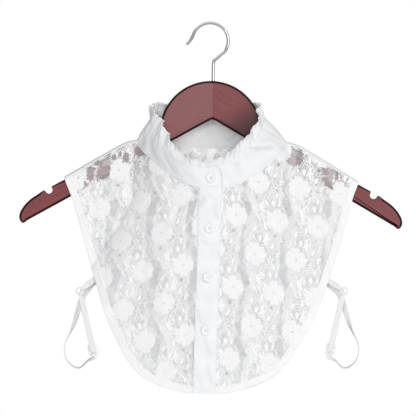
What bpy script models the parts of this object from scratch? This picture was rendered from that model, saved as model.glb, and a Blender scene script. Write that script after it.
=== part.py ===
"""Detachable lace collar (a dickey: two buttoned lace fronts, a lace back, a
stand with a frill and a pair of side straps) on its wooden hanger.

Lengths below are in millimetres and are turned into metres where a mesh is
made.  The garment faces -Y, +X is the viewer's right and +Z is up.  The hook
hangs off-centre, so the whole model is moved to put the inner top of the hook
on the origin."""

import math

import bmesh
import bpy
import numpy as np

for obj in list(bpy.data.objects):
    bpy.data.objects.remove(obj, do_unlink=True)
for mesh in list(bpy.data.meshes):
    bpy.data.meshes.remove(mesh)

MM = 0.001

# ------------------------------------------------------------- driving sizes
GAP = 0.3                    # between pieces that meet
HOOK_OFFSET = 4.0            # hanger's middle plane, to the right of the hook's top

WIRE_R = 1.8                 # hook wire
HOOK_R = 20.8                # hook bend, to the middle of the wire
HOOK_BORE = 2.15             # hole in the wood for the shank
SHANK_IN_WOOD = 24.0

BOARD_HALF = 6.0             # half the hanger's thickness
BOARD_EDGE = 2.4             # rounding of its rims
HUMP_R, HUMP_X, HUMP_TOP = 59.0, -1.7, -65.6
ARM_TOP_Z0, ARM_TOP_SLOPE = -89.9, 0.5446
ARM_LOW_Z0, ARM_LOW_SLOPE = -109.4, 0.5695
NOTCH_X, NOTCH_R, NOTCH_DEPTH = 189.2, 4.3, 6.6

DRAPE_Y = 8.0                # middle of the cloth from the arm's middle plane
WRAP = 8.0                   # depth over which the cloth turns round the arm
LACE_T = 1.0                 # lace wall
WOVEN_T = 1.2                # stand wall
FRILL_T = 1.0
PLACKET_T = 1.0
PLACKET_HALF = 13.35
BIND_T, BIND_W = 1.5, 9.0    # bound edge: thickness and width

NECK_HALF = 86.4             # neck seam, half its width
FRONT_NECK_Y, BACK_NECK_Y = 38.0, 34.0
FRONT_HEM_Y, BACK_HEM_Y = 23.0, 15.0
STAND_TOP_HALF = 66.0
STAND_TOP_FRONT_Y, STAND_TOP_BACK_Y = 35.0, 34.0
STAND_LEAN = -6.0            # the stand's top sits this far to one side
STAND_TILT = 2.6             # and this much higher on the right

STRAP_W, STRAP_T = 6.2, 1.0
RING_R, RING_WIRE = 4.1, 0.8

# Outline of the fronts and the back, half of it: distance out, height.
OUTLINE = [
    # out     height
    (0.0, -427.8),
    (30.0, -425.6),
    (55.0, -418.4),
    (75.5, -408.2),
    (92.2, -390.8),
    (104.2, -370.0),
    (115.2, -350.0),
    (123.7, -330.0),
    (133.8, -300.0),
    (143.0, -270.0),
    (151.9, -240.0),
    (157.8, -218.0),
    (163.2, -200.0),
    (170.6, None),           # on the shoulder line
]

# How far the outer cloth hangs to the right of the middle.
SWAY = [
    # below  right
    (190.0, 0.0),
    (215.0, 1.2),
    (290.0, 1.6),
    (340.0, 0.7),
    (365.0, -0.4),
    (395.0, -1.1),
    (430.0, -1.1),
]

# Shoulder line: the height of the cloth's middle above the arm's top.
SHOULDER = [
    # out    above
    (86.4, 1.2),
    (91.0, 2.6),
    (98.0, 4.5),
    (110.0, 5.1),
    (125.0, 4.5),
    (140.0, 4.0),
    (150.0, 3.3),
    (161.0, 2.6),
    (172.0, 2.2),
]

# Rounded tip of an arm, from its top edge round to its lower one.
TIP = [
    # out     height
    (200.0, -199.6),
    (207.0, -204.3),
    (213.9, -210.6),
    (218.6, -216.8),
    (221.4, -223.0),
    (221.8, -227.6),
    (220.6, -231.0),
]

# Neck seam and the stand's top seam, by the angle from centre front.
RING = [
    # angle  neck z   stand top z
    (0.0, -188.6, -166.4),
    (15.0, -186.0, -163.3),
    (30.0, -177.0, -156.6),
    (45.0, -163.3, -145.0),
    (60.0, -151.5, -133.0),
    (75.0, -142.9, -120.5),
    (90.0, -135.9, -109.5),
    (105.0, -136.8, -111.0),
    (120.0, -138.2, -112.6),
    (150.0, -141.0, -115.6),
    (180.0, -142.0, -116.5),
]

# Largest folds of the fronts and the back: a trough or ridge from one point to
# another, its half width and its depth (a ridge is negative).
FOLDS = [
    # side    x0      z0      x1      z1     half  depth
    ("front", -62.0, -262.0, -104.0, -352.0, 17.0, 3.2),
    ("front", -38.0, -205.0, -52.0, -330.0, 14.0, -1.8),
    ("front", -120.0, -215.0, -128.0, -290.0, 16.0, 2.0),
    ("front", 52.0, -225.0, 66.0, -372.0, 16.0, -2.4),
    ("front", 92.0, -235.0, 108.0, -335.0, 17.0, 2.8),
    ("front", 132.0, -210.0, 138.0, -275.0, 13.0, -1.6),
    ("back", -70.0, -190.0, -88.0, -350.0, 20.0, 2.8),
    ("back", 6.0, -210.0, -2.0, -390.0, 22.0, -2.4),
    ("back", 74.0, -200.0, 84.0, -340.0, 19.0, 3.0),
]


# ------------------------------------------------------------ small functions
def smooth(value):
    value = np.clip(value, 0.0, 1.0)
    return value * value * (3.0 - 2.0 * value)


def spline(table, at):
    """Smooth curve through rows (parameter, value), read at some parameters."""
    rows = np.array(table, float)
    t, v = rows[:, 0], rows[:, 1]
    slope = np.gradient(v, t)
    at = np.clip(np.asarray(at, float), t[0], t[-1])
    i = np.clip(np.searchsorted(t, at, side="right") - 1, 0, len(t) - 2)
    h = t[i + 1] - t[i]
    s = (at - t[i]) / h
    return (
        (2 * s**3 - 3 * s**2 + 1) * v[i]
        + (s**3 - 2 * s**2 + s) * h * slope[i]
        + (-2 * s**3 + 3 * s**2) * v[i + 1]
        + (s**3 - s**2) * h * slope[i + 1]
    )


def lerp(a, b, s):
    return a + (b - a) * s


def shoulder_z(x):
    """Height of the shoulder line, which lies along the arms' tops."""
    out = np.abs(np.asarray(x, float))
    return ARM_TOP_Z0 - ARM_TOP_SLOPE * out + spline(SHOULDER, out)


def folds(side, x, z):
    total = np.zeros_like(x)
    for where, x0, z0, x1, z1, half, depth in FOLDS:
        if where != side:
            continue
        dx, dz = x1 - x0, z1 - z0
        long = math.hypot(dx, dz)
        along = ((x - x0) * dx + (z - z0) * dz) / long**2
        across = ((x - x0) * dz - (z - z0) * dx) / long
        end = smooth(along / 0.35) * smooth((1.0 - along) / 0.35)
        total += depth * end * np.exp(-((across / half) ** 2))
    return total


def cloth_y(side, x, z):
    """Depth of the cloth's middle: round the arm's top, then out to the neck
    seam and down to the hem in one fall, with the largest folds."""
    x, z = np.asarray(x, float), np.asarray(z, float)
    front = side == "front"
    below = shoulder_z(x) - z
    turn = np.clip(below / WRAP, 0.0, 1.0)
    wrap = (1.0 - (1.0 - turn) ** 3) ** (1.0 / 3.0)
    top_z = -188.6 if front else -142.0
    neck = (FRONT_NECK_Y if front else BACK_NECK_Y) - DRAPE_Y
    hem = (FRONT_HEM_Y if front else BACK_HEM_Y) - DRAPE_Y
    down = np.clip((top_z - z) / (top_z + 427.8), 0.0, 1.0)
    rise = neck + (hem - neck) * down**0.85
    reach = 90.0 + 54.0 * smooth(down / 0.5)
    swell = np.clip(1.0 - (x / reach) ** 2, 0.0, 1.0) ** 0.75
    out = DRAPE_Y * wrap + rise * swell * smooth(below / 16.0)
    out = out - folds(side, x, z) * smooth((below - 14.0) / 30.0)
    out = np.maximum(out, 0.2)
    return -out if front else out


def normals(grid):
    """Unit normals of a grid of points, from its neighbours."""
    along = np.gradient(grid, axis=0)
    across = np.gradient(grid, axis=1)
    n = np.cross(along, across)
    return n / np.maximum(np.linalg.norm(n, axis=2, keepdims=True), 1e-9)


def wall(name, grid, thick, material, shift=0.0, closed=False):
    """A closed cloth wall about a grid of middle points. A positive shift moves
    it along the grid's normals."""
    grid = np.asarray(grid, float)
    n = normals(grid)
    if closed:
        wide = np.concatenate([grid[-2:-1], grid, grid[1:2]])
        n = normals(wide)[1:-1]
        n[0] = n[-1] = n[0] + n[-1]
        n /= np.linalg.norm(n, axis=2, keepdims=True)
    outer, inner = grid + n * (shift + thick / 2), grid + n * (shift - thick / 2)
    rows, cols = grid.shape[:2]
    points = np.concatenate([outer.reshape(-1, 3), inner.reshape(-1, 3)])
    size = rows * cols
    faces = []
    for i in range(rows - 1):
        for j in range(cols - 1):
            a, b = i * cols + j, (i + 1) * cols + j
            faces.append((a, b, b + 1, a + 1))
            faces.append((size + a, size + a + 1, size + b + 1, size + b))
    rim = (
        [(i, 0) for i in range(rows)]
        + [(rows - 1, j) for j in range(1, cols)]
        + [(i, cols - 1) for i in range(rows - 2, -1, -1)]
        + [(0, j) for j in range(cols - 2, 0, -1)]
    )
    for (i, j), (k, m) in zip(rim, rim[1:] + rim[:1]):
        a, b = i * cols + j, k * cols + m
        faces.append((b, a, size + a, size + b))
    return solid(name, points, faces, material)


def solid(name, points, faces, material, smooth_angle=35.0):
    mesh = bpy.data.meshes.new(name)
    mesh.from_pydata([tuple(p) for p in np.asarray(points) * MM], [], faces)
    bm = bmesh.new()
    bm.from_mesh(mesh)
    bmesh.ops.remove_doubles(bm, verts=bm.verts, dist=1e-6)
    bmesh.ops.recalc_face_normals(bm, faces=bm.faces)
    bm.to_mesh(mesh)
    bm.free()
    mesh.shade_smooth()
    mesh.set_sharp_from_angle(angle=math.radians(smooth_angle))
    return place(name, mesh, material)


def place(name, data, material):
    obj = bpy.data.objects.new(name, data)
    bpy.context.scene.collection.objects.link(obj)
    obj.parent = origin
    if material:
        data.materials.append(material)
    return obj


def paint(name, colour, rough, metal=0.0):
    material = bpy.data.materials.new(name)
    material.use_nodes = True
    shader = material.node_tree.nodes["Principled BSDF"]
    shader.inputs["Base Color"].default_value = (*colour, 1.0)
    shader.inputs["Roughness"].default_value = rough
    shader.inputs["Metallic"].default_value = metal
    return material


def cutter(obj):
    obj.hide_render = True
    obj.display_type = "WIRE"
    return obj


def cut(obj, tool):
    boolean = obj.modifiers.new("cut", "BOOLEAN")
    boolean.operation = "DIFFERENCE"
    boolean.object = tool


origin = bpy.data.objects.new("middle_plane", None)
bpy.context.scene.collection.objects.link(origin)
origin.location = (HOOK_OFFSET * MM, 0.0, 0.0)

LACE = paint("lace", (0.86, 0.87, 0.88), 0.85)
WOVEN = paint("woven_cotton", (0.88, 0.89, 0.90), 0.8)
TAPE = paint("edge_tape", (0.89, 0.90, 0.90), 0.75)
ELASTIC = paint("elastic", (0.86, 0.86, 0.86), 0.6)
BUTTON = paint("button_resin", (0.90, 0.91, 0.92), 0.25)
FITTING = paint("coated_fitting", (0.84, 0.84, 0.84), 0.3)
WOOD = paint("mahogany", (0.26, 0.07, 0.08), 0.4)
CHROME = paint("chrome", (0.72, 0.72, 0.74), 0.12, 1.0)


# -------------------------------------------------------------------- hanger
def arc(cx, cz, r, start, end, count):
    turn = np.radians(np.linspace(start, end, count))
    return [(cx + r * math.cos(a), cz + r * math.sin(a)) for a in turn]


def arm_top(x):
    return ARM_TOP_Z0 - ARM_TOP_SLOPE * abs(x)


def arm_low(x):
    return ARM_LOW_Z0 - ARM_LOW_SLOPE * abs(x)


def hanger_half(name, sign):
    """One half of the board: hump, arm and rounded tip, cut on the joint line."""
    hump_z = HUMP_TOP - HUMP_R
    middle = HUMP_X * sign
    start = math.degrees(math.acos((GAP / 2 - middle) / HUMP_R))
    outline = arc(middle, hump_z, HUMP_R, start, 3.5, 16)
    corner = outline[-1][0] + 7.0
    outline += [(outline[-1][0] + 1.6, arm_top(corner) + 2.6), (corner, arm_top(corner))]
    outline += [(x, arm_top(x)) for x in (100.0, 150.0, 192.0)]
    outline += [(x, z) for x, z in TIP]
    outline += [(218.0, arm_low(218.0))]
    outline += [(x, arm_low(x)) for x in (150.0, 80.0, 6.0)]
    outline += [(3.0, arm_low(3.0) - 0.15), (GAP / 2, arm_low(0.0) - 0.7)]
    outline = [(sign * x, z) for x, z in outline]
    count = len(outline)
    points = [(x, y, z) for y in (-BOARD_HALF, BOARD_HALF) for x, z in outline]
    faces = [tuple(range(count)), tuple(range(2 * count - 1, count - 1, -1))]
    faces += [
        (i, count + i, count + (i + 1) % count, (i + 1) % count) for i in range(count)
    ]
    board = solid(name, points, faces, WOOD)
    rounding = board.modifiers.new("rims", "BEVEL")
    rounding.width = BOARD_EDGE * MM
    rounding.segments = 3
    rounding.limit_method = "WEIGHT"
    weight = board.data.attributes.new("bevel_weight_edge", "FLOAT", "EDGE")
    for edge in board.data.edges:
        a, b = (board.data.vertices[v].co for v in edge.vertices)
        flat = abs(a.y - b.y) < 1e-6
        joint = abs(a.x) < 0.001 and abs(b.x) < 0.001
        weight.data[edge.index].value = 1.0 if flat and not joint else 0.0
    return board


def round_slot(name, x, radius, depth, long):
    """Cutter of a trouser notch: a round-bottomed slot across the arm's top."""
    lean = math.atan(ARM_TOP_SLOPE)
    half = arc(0.0, -depth + radius, radius, 180.0, 360.0, 11)
    outline = [(-radius, long)] + half + [(radius, long)]
    turned = []
    for a, b in outline:
        turned.append(
            (
                abs(x) + a * math.cos(lean) + b * math.sin(lean),
                arm_top(x) - a * math.sin(lean) + b * math.cos(lean),
            )
        )
    side = 1.0 if x > 0 else -1.0
    count = len(turned)
    points = [(side * p, y, q) for y in (-12.0, 12.0) for p, q in turned]
    faces = [tuple(range(count)), tuple(range(2 * count - 1, count - 1, -1))]
    faces += [
        (i, count + i, count + (i + 1) % count, (i + 1) % count) for i in range(count)
    ]
    return cutter(solid(name, points, faces, None))


def rod(name, x, y, low, high, radius, sides=16):
    turn = np.linspace(0.0, 2 * math.pi, sides, endpoint=False)
    points = [
        (x + radius * math.cos(a), y + radius * math.sin(a), z)
        for z in (low, high)
        for a in turn
    ]
    faces = [tuple(range(sides)), tuple(range(2 * sides - 1, sides - 1, -1))]
    faces += [
        (i, sides + i, sides + (i + 1) % sides, (i + 1) % sides) for i in range(sides)
    ]
    return cutter(solid(name, points, faces, None))


bore = rod("shank_bore", 0.0, 0.0, HUMP_TOP - SHANK_IN_WOOD - 1.0, 0.0, HOOK_BORE)
for side_name, sign in (("right", 1.0), ("left", -1.0)):
    half_board = hanger_half("hanger_" + side_name, sign)
    cut(half_board, bore)
    cut(
        half_board,
        round_slot("notch_" + side_name, sign * NOTCH_X, NOTCH_R, NOTCH_DEPTH, 14.0),
    )


# ---------------------------------------------------------------------- hook
def hook_path():
    """Middle line of the wire from its flicked tip round the bend and down the
    shank. The bend's centre is HOOK_OFFSET to the left of the shank."""
    cx, cz = -HOOK_OFFSET, WIRE_R - HOOK_R
    points = [(cx - 26.1, cz - 3.6), (cx - 24.2, cz - 1.4), (cx - 22.3, cz + 1.2)]
    points += arc(cx, cz, HOOK_R, 162.0, -18.0, 30)
    ends = [(cx + 17.3, cz - 12.0), (cx + 13.2, cz - 15.6), (cx + 8.6, cz - 19.6)]
    points += ends
    points += [(0.9, -42.2), (0.15, -45.0), (0.0, -48.0), (0.0, -56.0)]
    points += [(0.0, HUMP_TOP - SHANK_IN_WOOD)]
    return points


curve = bpy.data.curves.new("hook", "CURVE")
curve.dimensions = "3D"
curve.bevel_depth = WIRE_R * MM
curve.bevel_resolution = 3
curve.use_fill_caps = True
line = hook_path()
run = curve.splines.new("POLY")
run.points.add(len(line) - 1)
for point, (x, z) in zip(run.points, line):
    point.co = (x * MM, 0.0, z * MM, 1.0)
place("hook", curve, CHROME)


# ------------------------------------------------------- outline of the cloth
def outline_points():
    """Rows of OUTLINE with the shoulder's height filled in."""
    return np.array([(x, shoulder_z(x) if z is None else z) for x, z in OUTLINE])


def along_outline(count, start_x):
    """Points evenly spaced from start_x near the hem to just under the shoulder
    line, then rows that turn round the arm, each with its unit inward normal."""
    rows = outline_points()
    step = np.r_[0.0, np.cumsum(np.hypot(*np.diff(rows, axis=0).T))]
    fine = np.linspace(0.0, step[-1], 1200)
    x = spline(np.c_[step, rows[:, 0]], fine)
    z = spline(np.c_[step, rows[:, 1]], fine)
    below = shoulder_z(x) - z
    first = np.interp(start_x, x, fine)
    last = np.interp(-TURN_ROWS[0], -below, fine)
    at = np.r_[
        np.linspace(first, last, count), np.interp(-np.array(TURN_ROWS[1:]), -below, fine)
    ]
    px, pz = np.interp(at, fine, x), np.interp(at, fine, z)
    dx, dz = np.gradient(x, fine), np.gradient(z, fine)
    tx, tz = np.interp(at, fine, dx), np.interp(at, fine, dz)
    long = np.hypot(tx, tz)
    nx, nz = -tz / long, tx / long
    lean = math.atan(ARM_TOP_SLOPE)
    share = smooth((np.interp(at, fine, below) - 9.0) / 25.0)
    nx = lerp(-math.cos(lean), nx, share)
    nz = lerp(math.sin(lean), nz, share)
    long = np.hypot(nx, nz)
    return px, pz, nx / long, nz / long


TURN_ROWS = [9.0, 4.0, 1.5, 0.4, 0.0]    # depths under the shoulder line
EDGE_STEPS, EDGE_START = 18, 15.75       # columns of a panel and of its bound edge


def ring_xyz(angle, level):
    """The neck seam (level 0), the stand's top seam (level 1) or between them."""
    turn = np.abs((np.asarray(angle, float) + 180.0) % 360.0 - 180.0)
    side = np.sin(np.radians(np.asarray(angle, float)))
    back = np.cos(np.radians(np.asarray(angle, float))) < 0.0
    table = np.array(RING)
    x0 = NECK_HALF * side
    z0 = spline(table[:, [0, 1]], turn)
    y0 = np.where(back, cloth_y("back", x0, z0), cloth_y("front", x0, z0))
    x1 = STAND_LEAN + STAND_TOP_HALF * side
    z1 = spline(table[:, [0, 2]], turn) + STAND_TILT * side
    deep = np.where(back, STAND_TOP_BACK_Y, STAND_TOP_FRONT_Y)
    y1 = -deep * np.cos(np.radians(np.asarray(angle, float)))
    return np.stack(
        [lerp(x0, x1, level), lerp(y0, y1, level), lerp(z0, z1, level)], axis=-1
    )


def ring_out(angle):
    """Outward direction of the stand's top seam, in plan."""
    a = np.radians(np.asarray(angle, float))
    n = np.stack(
        [np.sin(a) / STAND_TOP_HALF, -np.cos(a) / STAND_TOP_FRONT_Y, 0 * a], axis=-1
    )
    return n / np.linalg.norm(n, axis=-1, keepdims=True)


def placket_middle(z):
    """The placket leans a little to the left as it goes down."""
    return lerp(-0.4, -4.4, np.clip((-188.0 - z) / 240.0, 0.0, 1.0))


def along_neck(count, start_x, side):
    """Neck seam points from start_x out to the shoulder, by even steps and then
    the rows that turn round the arm."""
    fine = np.linspace(0.0, 90.0, 900) if side == "front" else np.linspace(180.0, 90.0, 900)
    p = ring_xyz(fine, 0.0)
    x, z = p[:, 0], p[:, 2]
    below = shoulder_z(x) - z
    step = np.r_[0.0, np.cumsum(np.linalg.norm(np.diff(p, axis=0), axis=1))]
    first = np.interp(start_x, x, step)
    last = np.interp(-TURN_ROWS[0], -below, step)
    at = np.r_[
        np.linspace(first, last, count), np.interp(-np.array(TURN_ROWS[1:]), -below, step)
    ]
    return np.interp(at, step, x), np.interp(at, step, z)


def panel_grid(side, count, rows, start_x, trim):
    """Grid of a panel's half: fans from the neck seam to the bound edge."""
    nx, nz = along_neck(count, start_x, side)
    px, pz, ix, iz = along_outline(count, start_x)
    ex, ez = px + trim * ix, pz + trim * iz
    v = np.linspace(0.0, 1.0, rows)
    gx = nx[:, None] * (1 - v) + ex[:, None] * v
    gz = nz[:, None] * (1 - v) + ez[:, None] * v
    return gx, gz


def lifted(side, gx, gz):
    aside = spline(SWAY, -gz) * smooth((np.abs(gx) - 40.0) / 60.0)
    return np.stack([gx + aside, cloth_y(side, gx, gz), gz], axis=-1)


def to_placket(sign, gx, gz):
    """Moves a right-hand grid's first columns so that its inner edge follows the
    leaning placket, and mirrors it for the left."""
    edge = placket_middle(gz[0]) + sign * (PLACKET_HALF + GAP)
    pull = (sign * edge - gx[0])[None, :]
    fade = 1.0 - smooth(np.arange(gx.shape[0]) / 7.0)[:, None]
    return sign * (gx + pull * fade)


# -------------------------------------------------------------- front panels
for side_name, sign in (("right", 1.0), ("left", -1.0)):
    gx, gz = panel_grid("front", EDGE_STEPS, 14, EDGE_START, BIND_W + GAP)
    grid = lifted("front", to_placket(sign, gx, gz), gz)
    wall("front_panel_" + side_name, grid[:: int(sign)], LACE_T, LACE)

# ---------------------------------------------------------------- back panel
gx, gz = panel_grid("back", EDGE_STEPS, 13, EDGE_START, BIND_W + GAP)
first_z = np.stack(
    [np.full(13, ring_xyz(180.0, 0.0)[2]), np.full(13, OUTLINE[0][1] + BIND_W + GAP)]
)
v = np.linspace(0.0, 1.0, 13)
mid_z = lerp(first_z[0], first_z[1], v)
gx = np.concatenate([-gx[::-1], np.zeros((1, 13)), gx])
gz = np.concatenate([gz[::-1], mid_z[None, :], gz])
wall("back_panel", lifted("back", gx, gz), LACE_T, LACE)


# ------------------------------------------------------------- bound edges
def binding(name, side, sign):
    px, pz, ix, iz = along_outline(EDGE_STEPS, EDGE_START)
    cross = np.array([0.0, 0.5, 1.0])
    bx = px[:, None] + BIND_W * cross * ix[:, None]
    bz = pz[:, None] + BIND_W * cross * iz[:, None]
    if sign:
        bx = to_placket(sign, bx, bz)
        wall(name, lifted(side, bx, bz)[:: int(sign)], BIND_T, TAPE)
        return
    zero = np.zeros((1, 3))
    low = OUTLINE[0][1] + BIND_W * cross
    bx = np.concatenate([-bx[::-1], zero, bx])
    bz = np.concatenate([bz[::-1], low[None, :], bz])
    wall(name, lifted(side, bx, bz), BIND_T, TAPE)


binding("binding_front_right", "front", 1.0)
binding("binding_front_left", "front", -1.0)
binding("binding_back", "back", 0.0)

# ---------------------------------------------------------------- plackets
PLACKET_TOP = -188.9
for layer, shift in (("over", 0.7), ("under", -0.7)):
    down = np.linspace(0.0, 1.0, 19)
    cross = np.linspace(-1.0, 1.0, 4)
    top = PLACKET_TOP + 0.9 * cross**2
    z = lerp(top[None, :], -427.4 + 0.7 * cross[None, :] ** 2, down[:, None])
    x = placket_middle(z) + PLACKET_HALF * cross[None, :]
    wall("placket_" + layer, lifted("front", x, z), PLACKET_T, WOVEN, shift)


# ------------------------------------------------------------------- collar
def lap(angle):
    """The stand's ends pass over each other in front: the left one outside."""
    over = smooth((angle - 332.0) / 18.0)
    under = smooth((26.0 - angle) / 16.0)
    return 1.0 * over - 1.0 * under


START, END = -8.5, 368.5
angles = np.unique(
    np.r_[
        np.linspace(START, 20.0, 6),
        [29.0, 38.0, 47.0, 56.0, 65.0, 73.0, 79.0, 83.0, 86.0, 88.3, 90.0],
        [91.7, 94.0, 97.0, 101.0, 107.0, 116.0, 127.0, 140.0, 153.0, 166.0, 180.0],
        [194.0, 207.0, 220.0, 233.0, 244.0, 253.0, 259.0, 263.0, 266.0, 268.3, 270.0],
        [271.7, 274.0, 277.0, 281.0, 287.0, 295.0, 304.0, 313.0, 322.0, 331.0],
        np.linspace(340.0, 364.0, 6),
        [366.2, 367.6, END],
    ]
)
levels = np.array([0.02, 0.36, 0.7, 1.0])
# The free end is cut square to the front, so its top reaches further round.
free = np.maximum(angles - 352.0, 0.0)
grid = np.stack([ring_xyz(angles + 0.33 * level * free, level) for level in levels], axis=1)
bow = 0.9 * np.sin(np.pi * levels)
push = lap(angles)[:, None] + bow[None, :]
grid += ring_out(angles)[:, None, :] * push[:, :, None]
# Clear of the panels' neck edge below, and the free corner rounded off.
grid[:, 0, 2] += 0.55
drop = 3.4 * smooth((angles - 365.6) / 2.9) ** 1.3
grid[:, -1, 2] -= drop
grid[:, -2, 2] -= 0.25 * drop
wall("collar_stand", grid, WOVEN_T, WOVEN)
stand_top = grid[:, -1]

# -------------------------------------------------------------------- frill
# The frill's height and how far its top falls to the side, all the way round.
FRILL = [
    # angle  height  to the right
    (0.0, 4.5, 0.0),
    (9.0, 6.5, 0.0),
    (24.0, 12.0, 0.0),
    (45.0, 14.0, 0.0),
    (65.0, 15.0, -3.0),
    (80.0, 15.5, -6.0),
    (95.0, 15.5, -7.6),
    (112.0, 19.0, -6.5),
    (135.0, 21.5, -1.5),
    (180.0, 21.0, 0.0),
    (220.0, 21.5, 0.0),
    (242.0, 22.5, 1.0),
    (258.0, 18.0, 1.0),
    (269.0, 14.0, 1.0),
    (282.0, 16.0, 6.0),
    (298.0, 17.5, 7.5),
    (316.0, 14.0, 3.5),
    (331.0, 10.5, 0.0),
    (346.0, 7.5, 0.0),
    (360.0, 5.0, 0.0),
]
WAVES = 25
FRILL_END = 1.0
count = WAVES * 6 + 1
turn = np.linspace(FRILL_END, 360.0 - 2.5, count)
phase = 2 * np.pi * WAVES * (turn / 360.0)
phase = phase + 0.55 * np.sin(np.radians(3 * turn)) + 0.4 * np.sin(np.radians(7 * turn + 40))
height = spline([row[:2] for row in FRILL], turn)
lean = spline([(row[0], row[2]) for row in FRILL], turn)
swing = 2.7 + 0.7 * np.sin(np.radians(5 * turn + 20.0))
calm = smooth((turn - 1.0) / 12.0) * smooth((357.5 - turn) / 12.0)
rows = []
for share in (0.0, 0.5, 1.0):
    base = np.stack([np.interp(turn, angles, stand_top[:, k]) for k in range(3)], axis=1)
    out = share**1.1 * (0.6 + calm * swing * np.sin(phase))
    point = base + ring_out(turn) * out[:, None]
    ripple = 0.7 * np.cos(2 * phase) * share * calm
    point[:, 0] += lean * share**1.2
    point[:, 2] += 0.95 + share * height + ripple
    rows.append(point)
wall("frill", np.stack(rows, axis=1), FRILL_T, WOVEN)


# ------------------------------------------------------------------ buttons
BUTTONS = [
    # name       x      z       on the stand
    ("button_1", -0.5, -177.9, True),
    ("button_2", -1.0, -236.0, False),
    ("button_3", -2.1, -292.7, False),
    ("button_4", -3.4, -354.2, False),
]
# Turned section of a button: radius, height over the cloth.
BUTTON_SECTION = [
    (0.0, 0.0),
    (4.6, 0.0),
    (5.5, 0.7),
    (5.7, 1.5),
    (5.2, 2.3),
    (4.4, 2.5),
    (3.7, 2.1),
    (3.0, 1.7),
    (0.0, 1.6),
]
BUTTON_SIDES = 24


def button(name, x, z, on_stand):
    if on_stand:
        y = float(ring_xyz(360.0, 0.5)[1]) - 1.0 - 0.9 - WOVEN_T / 2
        tilt = math.atan2(FRONT_NECK_Y - STAND_TOP_FRONT_Y, 22.2)
    else:
        y = float(cloth_y("front", x, z)) - 0.7 - PLACKET_T / 2
        step = float(cloth_y("front", x, z + 6.0) - cloth_y("front", x, z - 6.0))
        tilt = math.atan2(step, 12.0)
    y -= GAP + 0.15
    points, faces, loops = [], [], []
    for radius, lift in BUTTON_SECTION:
        if radius == 0.0:
            loops.append([len(points)])
            points.append((0.0, -lift, 0.0))
            continue
        loops.append(list(range(len(points), len(points) + BUTTON_SIDES)))
        for k in range(BUTTON_SIDES):
            a = 2 * math.pi * k / BUTTON_SIDES
            points.append((radius * math.cos(a), -lift, radius * math.sin(a)))
    for a, b in zip(loops, loops[1:]):
        for k in range(BUTTON_SIDES):
            m = (k + 1) % BUTTON_SIDES
            if len(a) == 1:
                faces.append((a[0], b[k], b[m]))
            elif len(b) == 1:
                faces.append((a[k], b[0], a[m]))
            else:
                faces.append((a[k], b[k], b[m], a[m]))
    made = solid(name, points, faces, BUTTON, 40.0)
    made.location = (x * MM, y * MM, z * MM)
    made.rotation_euler = (-tilt, 0.0, 0.0)
    return made


for row in BUTTONS:
    made = button(*row)
    holes = []
    for dx in (-1.15, 1.15):
        for dz in (-1.15, 1.15):
            turn8 = np.linspace(0.0, 2 * math.pi, 8, endpoint=False)
            points = [
                (dx + 0.6 * math.cos(a), y, dz + 0.6 * math.sin(a))
                for y in (-4.0, 1.0)
                for a in turn8
            ]
            faces = [tuple(range(8)), tuple(range(15, 7, -1))]
            faces += [(i, 8 + i, 8 + (i + 1) % 8, (i + 1) % 8) for i in range(8)]
            hole = cutter(solid("thread_hole", points, faces, None))
            hole.location, hole.rotation_euler = made.location, made.rotation_euler
            cut(made, hole)


# ------------------------------------------------------------------- straps
def smooth_path(rows):
    """Points on a smooth curve through rows x, y, z, flat, width, closer
    together where the rows are.  flat is the angle of the band's width about
    its run: 0 lies square to the viewer."""
    rows = np.array(rows, float)
    step = np.r_[0.0, np.cumsum(np.linalg.norm(np.diff(rows[:, :3], axis=0), axis=1))]
    at = [0.0]
    for a, b in zip(step, step[1:]):
        parts = 1 if b - a < 1.6 else 2 if b - a < 9.0 else 3
        at += list(np.linspace(a, b, parts + 1)[1:])
    return np.stack([spline(np.c_[step, rows[:, k]], at) for k in range(5)], axis=1)


def band(name, rows, material):
    """A flat band swept along its rows, with a width that may turn."""
    path = smooth_path(rows)
    p = path[:, :3]
    run = np.gradient(p, axis=0)
    run /= np.linalg.norm(run, axis=1, keepdims=True)
    # The face turns with the run, and stays square to the viewer where it can.
    face = [np.array([0.0, -1.0, 0.0])]
    for i in range(len(p)):
        turned = face[-1] - run[i] * np.dot(face[-1], run[i])
        square = np.array([0.0, -1.0, 0.0]) + run[i] * run[i, 1]
        if np.linalg.norm(square) > 0.5:
            turned = square * (1.0 if np.dot(square, turned) > 0 else -1.0)
        face.append(turned / np.linalg.norm(turned))
    face = np.array(face[1:])
    flat = np.radians(path[:, 3])[:, None]
    side = np.cross(run, face)
    face, side = (
        face * np.cos(flat) + side * np.sin(flat),
        side * np.cos(flat) - face * np.sin(flat),
    )
    half = path[:, 4:5] / 2
    grid = np.stack([p - side * half, p + side * half], axis=1)
    points = np.concatenate(
        [
            (grid + face[:, None] * STRAP_T / 2).reshape(-1, 3),
            (grid - face[:, None] * STRAP_T / 2).reshape(-1, 3),
        ]
    )
    n = len(p)
    faces = []
    for i in range(n - 1):
        a, b = 2 * i, 2 * i + 2
        c, d = 2 * n + a, 2 * n + b
        faces += [(a, b, b + 1, a + 1), (c, c + 1, d + 1, d)]
        faces += [(a, c, d, b), (a + 1, b + 1, d + 1, c + 1)]
    faces += [(0, 1, 2 * n + 1, 2 * n), (2 * n - 2, 4 * n - 2, 4 * n - 1, 2 * n - 1)]
    return solid(name, points, faces, material)


def ring(name, x, y, z, radius, wire, material, around=24, section=8):
    points, faces = [], []
    for i in range(around):
        a = 2 * math.pi * i / around
        for j in range(section):
            b = 2 * math.pi * j / section
            r = radius + wire * math.cos(b)
            points.append((x + r * math.cos(a), y + wire * math.sin(b), z + r * math.sin(a)))
    for i in range(around):
        for j in range(section):
            k, m = (i + 1) % around, (j + 1) % section
            faces.append(
                (i * section + j, k * section + j, k * section + m, i * section + m)
            )
    return solid(name, points, faces, material, 60.0)


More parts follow.
